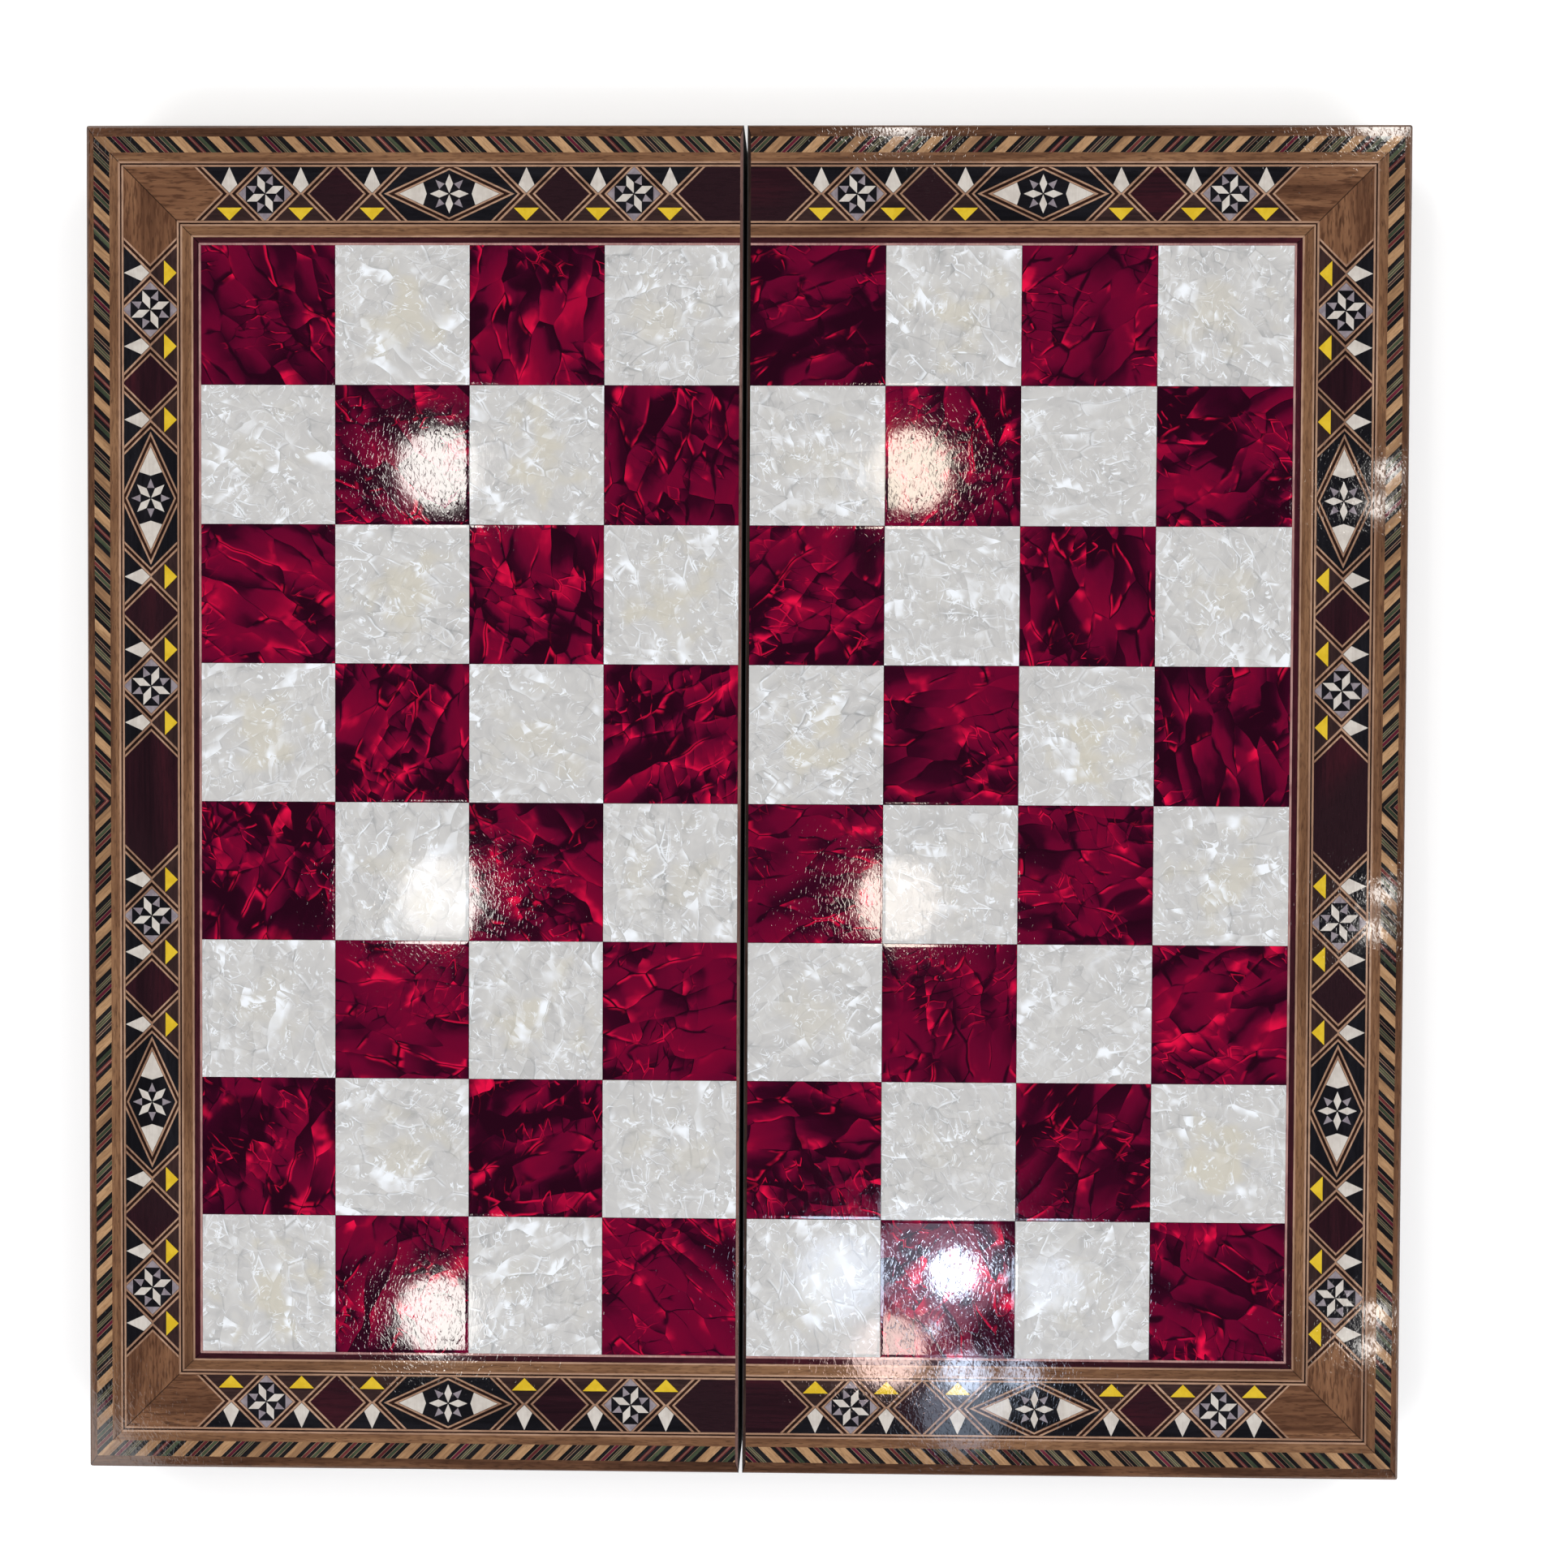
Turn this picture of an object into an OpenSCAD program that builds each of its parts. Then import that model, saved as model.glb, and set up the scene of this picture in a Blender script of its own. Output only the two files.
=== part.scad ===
// Folding inlaid games box, lying open and flat with its chessboard faces up.
// The seam between the two halves runs along Y, and the trays of both halves open downwards.
// All sizes are in millimetres, and the origin is under the middle of the seam.

/* [Chessboard] */
// Width of one square, across the seam
square_w = 50.5; // [48:0.5:58]
// Length of one square, along the seam
square_l = 52.1; // [50:0.1:58]
// Open joint between two squares
square_joint = 0.15; // [0.05:0.05:0.4]
// Squares across one half of the board
columns = 4; // [4]
// Squares along the seam
rows = 8; // [8]

/* [Box] */
// Gap between the two halves when they lie open
seam_gap = 1.4; // [1:0.1:2.4]
// Height of one half, from its rim to its playing face
half_h = 42; // [34:1:60]
// Thickness of the side rails
rail_t = 11; // [9:0.5:15]
// Thickness of the board that carries the inlay
panel_t = 5; // [3:0.5:8]
// Thickness of the inlay
inlay_t = 1.8; // [1:0.1:3]
// Thickness of the veneer on the tray floors
veneer_t = 0.7; // [0.4:0.1:1.5]
// Edge of the outer rail that shows beside the inlay
side_lip = 2.9; // [1.5:0.1:5]
// Edge of the head and foot rails that shows beside the inlay
end_lip = 4.3; // [2:0.1:6]
// Edge of the spine rail that shows beside the inlay
spine_lip = 1.3; // [0.8:0.1:3]
// Rounding of the long edges
edge_r = 1; // [0.4:0.1:1.4]
// Rounding of the upright corners
corner_r = 1.6; // [0.5:0.1:2.5]

/* [Border] */
// Width of the diagonally striped banding
banding_w = 5.9; // [4:0.1:8]
// Length of one pale slat, along the banding
pale_slat = 4.6; // [3:0.1:7]
// Length of one dark slat, along the banding
dark_slat = 9.6; // [6:0.1:14]
// Shortest piece of a slat that is laid at the end of a leg
shortest_slat = 0.3; // [0.1:0.1:1]
// Width of the walnut strip beside the banding
outer_fillet_w = 3.3; // [2:0.1:5]
// Width of the walnut strip beside the squares
inner_fillet_w = 3.4; // [2:0.1:5]
// Width of one pale line of stringing
pale_line = 0.7; // [0.4:0.05:1]
// Width of one dark line of stringing
dark_line = 0.6; // [0.4:0.05:1]
// Width of the maroon strip round the squares
maroon_w = 2.1; // [1:0.1:4]
// Width of the pink line round the squares
pink_w = 0.8; // [0.4:0.1:1.5]

/* [Marquetry] */
// Width of the marquetry band
band_w = 20.1; // [19:0.1:21.5]
// Pale line of the frames round the diamonds
frame_pale = 0.65; // [0.4:0.05:0.8]
// Dark line of the frames round the diamonds
frame_dark = 1; // [0.6:0.05:1.2]
// How far a diamond's corner would pass the band's edge, on the head and foot runs
end_over = 0.1; // [0:0.1:0.8]
// How far a diamond's corner would pass the band's edge, on the side runs
side_over = 0.4; // [0:0.1:0.8]
// Length of the rosewood panel at the seam
seam_panel = 26.2; // [18:0.1:32]
// Length of the rosewood panel in the middle of the side
side_panel = 59.2; // [50:0.1:70]
// Spare length of a walnut corner, past its mitre, on the head and foot runs
end_spare = 6.5; // [2:0.1:10]
// Spare length of a walnut corner, past its mitre, on the side runs
side_spare = 6.1; // [2:0.1:10]
// How far the lozenge's side corners would pass the band's edge
lozenge_over = 1.3; // [0.8:0.1:2]
// Ebony between the lozenge's point and the frame
lozenge_gap = 1.2; // [0.6:0.1:3]
// Ebony between the lozenge's star and its frame
star_margin = 1.3; // [0.8:0.1:2]
// Gap from the lozenge's star to its bone points
bone_gap = 0.8; // [0.4:0.1:1.5]
// How far the bone points bulge towards the star
bone_bulge = 1.4; // [0.6:0.1:2.4]
// Half width of a bone kite
kite_w = 3; // [2:0.1:4]
// Glue line round the small pieces
glue = 0.12; // [0.06:0.02:0.2]
// How far the pale lines of two frames run into each other where they cross
neck = 0.15; // [0.1:0.05:0.3]
// How far a star's side corners pass the ends of its cell, before they are drawn in
corner_spread = 0.02; // [0.01:0.01:0.04]

/* [Trays] */
// Backgammon points at each end of a tray
point_count = 6; // [6]
// Length of a backgammon point
point_l = 198; // [150:1:205]
// Space between two points at their bases
point_gap = 3; // [1:0.5:6]

/* [Hinges] */
// Hinges along the seam
hinge_count = 3; // [2:1:3]
// Distance from one hinge to the next
hinge_pitch = 170; // [120:1:190]
// Length of a hinge
hinge_l = 38; // [30:1:50]
// Radius of the knuckles
knuckle_r = 2.2; // [2:0.1:2.6]
// Knuckles in one hinge
knuckles = 5; // [5]
// Clearance between two knuckles
knuckle_play = 0.2; // [0.1:0.05:0.4]
// Radius of the hinge pin
pin_r = 0.9; // [0.7:0.1:1.1]
// Radial clearance of the pin
pin_play = 0.05; // [0.02:0.01:0.1]
// Thickness of a hinge leaf
leaf_t = 1.2; // [0.8:0.1:1.6]
// Clearance between a leaf and the knuckles of the other leaf
leaf_play = 0.25; // [0.1:0.05:0.4]
// Clearance of the wood round the knuckles
relief_play = 0.3; // [0.1:0.05:0.5]
// Clearance of the wood at each end of the knuckles
relief_end = 0.4; // [0.2:0.1:1]
// How far the root of a knuckle runs into its leaf
root_lap = 0.5; // [0.3:0.1:1]
// Wood left between a leaf and the inside of its rail
leaf_margin = 1.6; // [1:0.1:3]
// Gap between the two rims when the box is shut
shut_gap = 0.2; // [0.1:0.1:0.6]
// Radius of a hinge screw's shank
screw_r = 0.9; // [0.7:0.1:1.1]
// Radius of a hinge screw's head
head_r = 1.8; // [1.5:0.1:2.2]
// Height of a hinge screw's countersunk head
head_h = 0.9; // [0.5:0.1:1.1]
// Distance from the end of a leaf to its nearest screw
screw_inset = 6; // [4:0.5:9]
// Length of a hinge screw
screw_l = 9; // [6:0.5:12]
// Depth of a screw's hole past its point
hole_spare = 0.5; // [0.2:0.1:1]
// Width of a screw's slot
slot_w = 0.5; // [0.3:0.1:0.8]
// Clearance round screws and let-in fittings
fit_play = 0.05; // [0.02:0.01:0.1]

/* [Catch] */
// Distance from the middle of the outer rail to each catch magnet
magnet_y = 120; // [60:1:200]
// Radius of a catch magnet
magnet_r = 3; // [2:0.5:3.5]
// Thickness of a catch magnet
magnet_t = 2.5; // [1.5:0.5:5]

/* [Hidden] */
$fn = 48;
// How far a cutter passes what it cuts
over = 1;

// Colours
walnut = "#7a5440";
rosewood = "#3a1620";
ebony = "#17151a";
brown = "#37261f";
bone = "#d8cec4";
yellow = "#e3be33";
grey = "#8d838a";
pale_wood = "#b09078";
tan_wood = "#be9870";
dark_wood = "#3c231e";
maroon = "#381a20";
pink = "#b07885";
red_pearl = "#8a0630";
white_pearl = "#d2cec9";
plywood = "#b89468";
field_veneer = "#8c6a4c";
brass = "#c9a24a";
steel = "#9a9da2";

// Widths across the border, from the lips inwards
banding_in = banding_w;
outer_fillet_in = banding_in + outer_fillet_w;
stringing_w = 2 * pale_line + dark_line;
band_out = outer_fillet_in + stringing_w;
band_in = band_out + band_w;
inner_fillet_out = band_in + stringing_w;
inner_fillet_in = inner_fillet_out + inner_fillet_w;
maroon_out = inner_fillet_in + pale_line;
maroon_in = maroon_out + maroon_w;
border_w = maroon_in + pink_w;

// Size of one half
half_w = side_lip + border_w + columns * square_w + spine_lip;
half_l = end_lip + border_w + rows * square_l / 2;
inlay_end = half_w - spine_lip;

// Levels
axis_z = knuckle_r;
rim_z = axis_z + shut_gap / 2;
top_z = rim_z + half_h;
inlay_z = top_z - inlay_t;
seat_z = inlay_z - panel_t;
floor_z = seat_z - veneer_t;

// Marquetry: widths of the 45 degree frames, measured along the band
root2 = sqrt(2);
frame_a = frame_pale * root2;
frame_b = (frame_pale + frame_dark) * root2;
frame_c = (2 * frame_pale + frame_dark) * root2;
frame_w = 2 * frame_pale + frame_dark;
half_band = band_w / 2;
frame_reach = half_band - glue;
pitch_end = 2 * (half_band + end_over + frame_c);
pitch_side = 2 * (half_band + side_over + frame_c);
reach_end = band_w + half_band + frame_c + end_spare;
reach_side = band_w + half_band + frame_c + side_spare;
first_end = side_lip + band_out + reach_end;
first_side = end_lip + band_out + reach_side;
long_end = inlay_end - first_end - 4 * pitch_end - seam_panel;
long_side = half_l - first_side - 4 * pitch_side - side_panel / 2;
head_mid = half_l - end_lip - band_out - half_band;
side_mid = side_lip + band_out + half_band;
star_ratio = 1 + root2;
tip_ratio = 2 * cos(22.5);

// Star turns at the corner end and the far end of each run: head, foot, side to head, side to foot
left_turns = [[0, 0], [1, 0], [1, 0], [0, 0]];
right_turns = [[0, 1], [0, 1], [0, 1], [0, 1]];

// Hinges
leaf_x = knuckle_r + leaf_play;
leaf_end = seam_gap / 2 + rail_t - leaf_margin;
leaf_z = rim_z + shut_gap / 2;
knuckle_l = hinge_l / knuckles;
relief_r = knuckle_r + relief_play;
relief_l = hinge_l + 2 * relief_end;
hinge_ys = [for (i = [0:hinge_count - 1]) (i - (hinge_count - 1) / 2) * hinge_pitch];
screw_x = (leaf_x + leaf_end) / 2;
screw_ys = [screw_inset - hinge_l / 2, 0, hinge_l / 2 - screw_inset];

// Trays
tray_w = half_w - 2 * rail_t;
tray_half_l = half_l - rail_t;
point_pitch = tray_w / point_count;

// Places a half's pieces: x runs from its outer edge to its seam face
module place(side) {
  mirror_if(side == "right", [1, 0, 0])
    translate([-(seam_gap / 2 + half_w), 0, 0])
      children();
}

module mirror_if(on, way) {
  if (on) mirror(way) children();
  else children();
}

// One flat piece of the inlay from its outline
module inlay(points) {
  translate([0, 0, inlay_z]) linear_extrude(inlay_t) polygon(points);
}

// One flat piece of the inlay from a drawn shape
module inlay_shape() {
  translate([0, 0, inlay_z]) linear_extrude(inlay_t) children();
}

function direction(a) = [cos(a), sin(a)];
function middle(points) = [for (i = [0:1]) sum([for (p = points) p[i]]) / len(points)];
function sum(values, i = 0) = i < len(values) ? values[i] + sum(values, i + 1) : 0;
function widest(points, c) = max([for (p = points) norm(p - c)]);
// Draws a piece in towards its middle, so that a glue line is left round it.
// Its edges are taken to lie half as far from the middle as its farthest corner.
function drawn_in(points, by) =
  let (c = middle(points), k = 1 - by / (widest(points, c) / 2))
  [for (p = points) c + (p - c) * k];

// Outlines of a rail along its length: full thickness under the board, and the lip beside the inlay
function side_outline(t, u) = [[0, -half_l], [t, -half_l + u], [t, half_l - u], [0, half_l]];
function spine_outline(t, u) =
  [[half_w, -half_l], [half_w - t, -half_l + u], [half_w - t, half_l - u], [half_w, half_l]];
function head_outline(t, u, s) = [[0, half_l], [s, half_l - u], [half_w - t, half_l - u], [half_w, half_l]];

module rail(low, lip) {
  difference() {
    union() {
      translate([0, 0, rim_z]) linear_extrude(seat_z - rim_z) polygon(low);
      translate([0, 0, seat_z]) linear_extrude(top_z - seat_z) polygon(lip);
    }
    edge_cutters();
  }
}

// A quarter-round cutter along x, for the edge that runs through the origin
module quarter_cutter(r, length) {
  rotate([90, 0, 90]) linear_extrude(length) difference() {
    translate([-over, -over]) square(r + over);
    translate([r, r]) circle(r);
  }
}

module edge_cutters() {
  // Long edges of the playing face and of the rim, at the head and the foot
  for (way = [0, 1]) mirror_if(way == 1, [0, 1, 0]) {
    translate([-over, half_l, top_z]) rotate([180, 0, 0]) quarter_cutter(edge_r, half_w + 2 * over);
    translate([-over, half_l, rim_z]) mirror([0, 1, 0]) quarter_cutter(edge_r, half_w + 2 * over);
    // Upright corners at the outer edge
    translate([0, half_l, rim_z - over]) mirror([0, 1, 0]) linear_extrude(half_h + 2 * over) difference() {
      translate([-over, -over]) square(corner_r + over);
      translate([corner_r, corner_r]) circle(corner_r);
    }
  }
  // The same edges along the outer side
  translate([0, -half_l - over, rim_z]) mirror([1, -1, 0]) quarter_cutter(edge_r, 2 * (half_l + over));
  translate([0, -half_l - over, top_z]) mirror([0, 0, 1]) mirror([1, -1, 0])
    quarter_cutter(edge_r, 2 * (half_l + over));
}

// Woodwork of one half
module base_panel(side) {
  color(plywood) place(side)
    translate([side_lip, -half_l + end_lip, seat_z])
      cube([inlay_end - side_lip, 2 * (half_l - end_lip), panel_t]);
}

module outer_rail(side) {
  color(walnut) place(side) difference() {
    rail(side_outline(rail_t, rail_t), side_outline(side_lip, end_lip));
    for (y = [-magnet_y, magnet_y])
      translate([rail_t / 2, y, rim_z - over])
        cylinder(r = magnet_r + fit_play, h = magnet_t + over + shut_gap / 2);
  }
}

module spine_rail(side) {
  color(walnut) place(side) difference() {
    rail(spine_outline(rail_t, rail_t), spine_outline(spine_lip, end_lip));
    for (y = hinge_ys) translate([half_w + seam_gap / 2, y, 0]) hinge_room();
  }
}

module head_rail(side) {
  color(walnut) place(side)
    rail(head_outline(rail_t, rail_t, rail_t), head_outline(spine_lip, end_lip, side_lip));
}

module foot_rail(side) {
  color(walnut) place(side) mirror([0, 1, 0])
    rail(head_outline(rail_t, rail_t, rail_t), head_outline(spine_lip, end_lip, side_lip));
}

// Mortise, knuckle relief and pilot holes for one hinge, seen from the axis
module hinge_room() {
  translate([-leaf_end - fit_play, -hinge_l / 2 - fit_play, rim_z - over])
    cube([leaf_end + over, hinge_l + 2 * fit_play, leaf_z + leaf_t - rim_z + over]);
  translate([0, -relief_l / 2, axis_z]) rotate([-90, 0, 0]) cylinder(r = relief_r, h = relief_l);
  for (y = screw_ys)
    translate([-screw_x, y, leaf_z]) cylinder(r = screw_r + fit_play, h = screw_l + hole_spare);
}

// Three strips, mitred at the corners, along the outer side, the head and the foot.
// They run from one depth of the border to another, with a glue line at each mitre.
module three_sides(d1, d2) {
  y1 = half_l - end_lip - d1 - glue;
  y2 = half_l - end_lip - d2 - glue;
  inlay([[side_lip + d1, -y1], [side_lip + d2, -y2], [side_lip + d2, y2], [side_lip + d1, y1]]);
  for (way = [0, 1]) mirror_if(way == 1, [0, 1, 0])
    inlay([
      [side_lip + d1, half_l - end_lip - d1], [side_lip + d2, half_l - end_lip - d2],
      [inlay_end, half_l - end_lip - d2], [inlay_end, half_l - end_lip - d1]
    ]);
}

// Places one leg of the banding: it starts at a corner's mitre and runs to the seam or to mid side
module each_leg() {
  for ($leg = [0:3])
    mirror_if($leg > 1, [0, 1, 0])
      translate([side_lip, -half_l + end_lip, 0])
        mirror_if($leg % 2 == 1, [1, -1, 0])
          children();
}

// Slats slant with the mitre, and the last ones are cut off square.
// Head and foot legs start with a pale slat at the mitre, and side legs with a dark one.
module slats(pale) {
  on_side = $leg % 2 == 1;
  leg_l = on_side ? half_l - end_lip : inlay_end - side_lip;
  slat_l = pale ? pale_slat : dark_slat;
  from = on_side == pale ? (pale ? dark_slat : pale_slat) : 0;
  for (a = [from:pale_slat + dark_slat:leg_l - shortest_slat])
    inlay_shape() intersection() {
      polygon([[a, 0], [a + slat_l, 0], [a + slat_l + banding_w, banding_w], [a + banding_w, banding_w]]);
      square([leg_l, banding_w]);
    }
}

module dark_banding(side) {
  color(dark_wood) place(side) each_leg() slats(false);
}

module pale_banding(side) {
  color(tan_wood) place(side) each_leg() slats(true);
}

module walnut_fillets(side) {
  color(walnut) place(side) {
    three_sides(banding_in, outer_fillet_in);
    three_sides(inner_fillet_out, inner_fillet_in);
  }
}

module maroon_border(side) {
  color(maroon) place(side) three_sides(maroon_out, maroon_in);
}

module pink_line(side) {
  color(pink) place(side) three_sides(maroon_in, border_w);
}

// Places one run of marquetry at its first crossing: x runs away from the corner, y points outwards
module each_run() {
  for ($run = [0:3])
    mirror_if($run == 1 || $run == 2, [0, 1, 0])
      if ($run < 2)
        translate([first_end, head_mid, 0]) children();
      else
        translate([side_mid, -half_l + first_side, 0]) rotate(90) children();
}

function pitch() = $run < 2 ? pitch_end : pitch_side;
function long() = $run < 2 ? long_end : long_side;
function last_crossing() = 4 * pitch() + long();
function crossings() =
  [0, pitch(), 2 * pitch(), 2 * pitch() + long(), 3 * pitch() + long(), last_crossing()];
function star_xs() = [pitch() / 2, 3.5 * pitch() + long()];
function diamond_xs() = [1.5 * pitch(), 2.5 * pitch() + long()];
function lozenge_x() = 2 * pitch() + long() / 2;

module each_crossing() {
  for (x = crossings()) translate([x, 0, 0]) children();
}

// A V that opens away from a crossing, between two distances along the band
function vee(o1, o2) = [
  [o1, 0], [o1 + frame_reach, frame_reach], [o2 + frame_reach, frame_reach], [o2, 0],
  [o2 + frame_reach, -frame_reach], [o1 + frame_reach, -frame_reach]
];
function flip_x(points) = [for (p = points) [-p[0], p[1]]];

// The lozenge's outline, drawn in from its outer edge by a width of frame
function lozenge_half_l() = long() / 2 - frame_c - lozenge_gap;
function lozenge(by) =
  let (
    a = lozenge_half_l(),
    b = half_band + lozenge_over,
    k = 1 - by * sqrt(a * a + b * b) / (a * b)
  )
  [[a * k, 0], [0, b * k], [-a * k, 0], [0, -b * k]];

module lozenge_ring(by1, by2) {
  translate([lozenge_x(), 0, 0]) inlay_shape() intersection() {
    difference() {
      polygon(lozenge(by1));
      polygon(lozenge(by2));
    }
    square([2 * long(), 2 * frame_reach], center = true);
  }
}

module pale_stringing(side) {
  color(pale_wood) place(side) {
    three_sides(outer_fillet_in, outer_fillet_in + pale_line);
    three_sides(band_out - pale_line, band_out);
    three_sides(band_in, band_in + pale_line);
    three_sides(inner_fillet_out - pale_line, inner_fillet_out);
    three_sides(inner_fillet_in, maroon_out);
    each_run() {
      each_crossing() {
        inlay_shape() union() {
          polygon(vee(-neck, frame_a));
          polygon(flip_x(vee(-neck, frame_a)));
        }
        inlay(vee(frame_b, frame_c));
        inlay(flip_x(vee(frame_b, frame_c)));
      }
      lozenge_ring(0, frame_pale);
      lozenge_ring(frame_pale + frame_dark, frame_w);
    }
  }
}

module dark_stringing(side) {
  color(dark_wood) place(side) {
    three_sides(outer_fillet_in + pale_line, band_out - pale_line);
    three_sides(band_in + pale_line, inner_fillet_out - pale_line);
    each_run() {
      each_crossing() {
        inlay(vee(frame_a, frame_b));
        inlay(flip_x(vee(frame_a, frame_b)));
      }
      lozenge_ring(frame_pale, frame_pale + frame_dark);
    }
  }
}

// The triangle on the outer side of a crossing, and the kite that is let into it
triangle = [[0, neck], [half_band - neck, half_band], [neck - half_band, half_band]];
kite = [
  [0, neck + glue * 2], [kite_w, neck + glue * 2 + kite_w],
  [0, half_band - glue], [-kite_w, neck + glue * 2 + kite_w]
];
// The triangle that joins the middles of the sides, let into the inner triangle
mid_triangle = drawn_in([
  [0, half_band], [(half_band - neck) / 2, (half_band + neck) / 2],
  [(neck - half_band) / 2, (half_band + neck) / 2]
], glue);

module ebony_grounds(side) {
  color(ebony) place(side) each_run() {
    each_crossing() inlay_shape() difference() {
      polygon(triangle);
      polygon(kite);
    }
    translate([lozenge_x(), 0, 0]) inlay_shape() difference() {
      cell(long());
      polygon(lozenge(0));
    }
  }
}

module bone_kites(side) {
  color(bone) place(side) each_run() each_crossing() inlay(kite);
}

module brown_grounds(side) {
  color(brown) place(side) each_run() each_crossing() mirror([0, 1, 0]) inlay_shape() difference() {
    polygon(triangle);
    polygon(mid_triangle);
  }
}

module yellow_triangles(side) {
  color(yellow) place(side) each_run() each_crossing() mirror([0, 1, 0]) inlay(mid_triangle);
}

// The field inside the frames of one cell, centred, for a distance between crossings
module cell(length) {
  h = length / 2 - frame_c;
  polygon([
    [h, 0], [h - half_band, half_band], [half_band - h, half_band],
    [-h, 0], [half_band - h, -half_band], [h - half_band, -half_band]
  ]);
}

// Star of eight rhombs: every other one is whole bone, the rest are grey outside and ebony inside
function star_bone(s, a) =
  drawn_in([[0, 0], s * direction(a - 22.5), s * tip_ratio * direction(a), s * direction(a + 22.5)], glue);
function star_grey(s, a) =
  drawn_in([s * direction(a - 22.5), s * tip_ratio * direction(a), s * direction(a + 22.5)], glue);
// Grey corners that fill the diamond beyond the star
function corner_along(s, h) =
  drawn_in([s * tip_ratio * direction(-22.5), [h, 0], s * tip_ratio * direction(22.5)], glue);
function corner_across(s, h) =
  drawn_in([
    s * tip_ratio * direction(67.5), [h - half_band + corner_spread, half_band],
    [half_band - h - corner_spread, half_band], s * tip_ratio * direction(112.5)
  ], glue);
function star_half_l() = pitch() / 2 - frame_c;
function star_side() = star_half_l() / star_ratio;
function turns(side) = (side == "left" ? left_turns : right_turns)[$run];

// Outlines of a diamond's star
function diamond_bone(turn) = [for (k = [0:3]) star_bone(star_side(), 22.5 + 45 * turn + 90 * k)];
function diamond_grey(turn) = concat(
  [for (k = [0:3]) star_grey(star_side(), 67.5 + 45 * turn + 90 * k)],
  [corner_along(star_side(), star_half_l()), flip_x(corner_along(star_side(), star_half_l()))],
  [for (way = [1, -1]) [for (p = corner_across(star_side(), star_half_l())) [p[0], way * p[1]]]]
);

// Outlines of a lozenge's star, whose side runs on the left half are turned
function lozenge_turn(side) = side == "left" && $run > 1 ? 45 : 0;
function lozenge_k() =
  let (a = lozenge_half_l(), b = half_band + lozenge_over) 1 - frame_w * sqrt(a * a + b * b) / (a * b);
function lozenge_in_l() = lozenge_half_l() * lozenge_k();
function lozenge_in_w() = (half_band + lozenge_over) * lozenge_k();
function lozenge_tip() = lozenge_in_w() - star_margin;
function bone_point(way) =
  let (
    x1 = lozenge_tip() + bone_gap,
    x2 = x1 + bone_bulge,
    y2 = lozenge_in_w() * (1 - x2 / lozenge_in_l())
  )
  [for (p = drawn_in([[x1, 0], [x2, y2], [lozenge_in_l(), 0], [x2, -y2]], glue)) [way * p[0], p[1]]];
function lozenge_bone(side) = concat(
  [for (k = [0:3]) star_bone(lozenge_tip() / tip_ratio, lozenge_turn(side) + 90 * k)],
  [bone_point(1), bone_point(-1)]
);
function lozenge_grey(side) =
  [for (k = [0:3]) star_grey(lozenge_tip() / tip_ratio, lozenge_turn(side) + 45 + 90 * k)];

module each_outline(outlines) {
  for (points = outlines) inlay(points);
}

module cut_outlines(outlines) {
  for (points = outlines) polygon(points);
}

module bone_stars(side) {
  color(bone) place(side) each_run() {
    for (i = [0, 1]) translate([star_xs()[i], 0, 0]) each_outline(diamond_bone(turns(side)[i]));
    translate([lozenge_x(), 0, 0]) each_outline(lozenge_bone(side));
  }
}

module grey_stars(side) {
  color(grey) place(side) each_run() {
    for (i = [0, 1]) translate([star_xs()[i], 0, 0]) each_outline(diamond_grey(turns(side)[i]));
    translate([lozenge_x(), 0, 0]) each_outline(lozenge_grey(side));
  }
}

module star_grounds(side) {
  color(ebony) place(side) each_run() {
    for (i = [0, 1]) translate([star_xs()[i], 0, 0]) inlay_shape() difference() {
      cell(pitch());
      cut_outlines(concat(diamond_bone(turns(side)[i]), diamond_grey(turns(side)[i])));
    }
    translate([lozenge_x(), 0, 0]) inlay_shape() difference() {
      polygon(lozenge(frame_w));
      cut_outlines(concat(lozenge_bone(side), lozenge_grey(side)));
    }
  }
}

// Rosewood: the plain diamonds, the panel at the seam, and the panel in the middle of the side,
// which the last run alone lays
module rosewood_panels(side) {
  color(rosewood) place(side) each_run() {
    for (x = diamond_xs()) translate([x, 0, 0]) inlay_shape() cell(pitch());
    translate([last_crossing(), 0, 0])
      if ($run < 2) inlay([
        [frame_c, 0], [frame_c + half_band, half_band], [seam_panel, half_band],
        [seam_panel, -half_band], [frame_c + half_band, -half_band]
      ]);
      else if ($run == 3) translate([side_panel / 2, 0, 0]) inlay_shape() cell(side_panel);
  }
}

// Walnut corners: each corner is two pieces that meet at a mitre
module walnut_corners(side) {
  color(walnut) place(side) each_run() {
    reach = $run < 2 ? reach_end : reach_side;
    inlay([
      [-frame_c, 0], [-frame_c - half_band, half_band], [glue - reach, half_band],
      [glue - reach + band_w, -half_band], [-frame_c - half_band, -half_band]
    ]);
  }
}

// Squares of one colour: parity 0 starts at the outer corner of the head
module squares(parity) {
  for (i = [0:columns - 1], j = [0:rows - 1])
    if ((i + j) % 2 == parity)
      translate([
        side_lip + border_w + i * square_w + square_joint / 2,
        half_l - end_lip - border_w - (j + 1) * square_l + square_joint / 2,
        inlay_z
      ])
        cube([square_w - square_joint, square_l - square_joint, inlay_t]);
}

module red_squares(side) {
  color(red_pearl) place(side) squares(side == "left" ? 0 : 1);
}

module pearl_squares(side) {
  color(white_pearl) place(side) squares(side == "left" ? 1 : 0);
}

// Tray floor: a veneer with twelve let-in points
function point_outline(i) = [
  [rail_t + i * point_pitch + point_gap / 2, tray_half_l],
  [rail_t + (i + 1) * point_pitch - point_gap / 2, tray_half_l],
  [rail_t + (i + 0.5) * point_pitch, tray_half_l - point_l]
];

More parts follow.
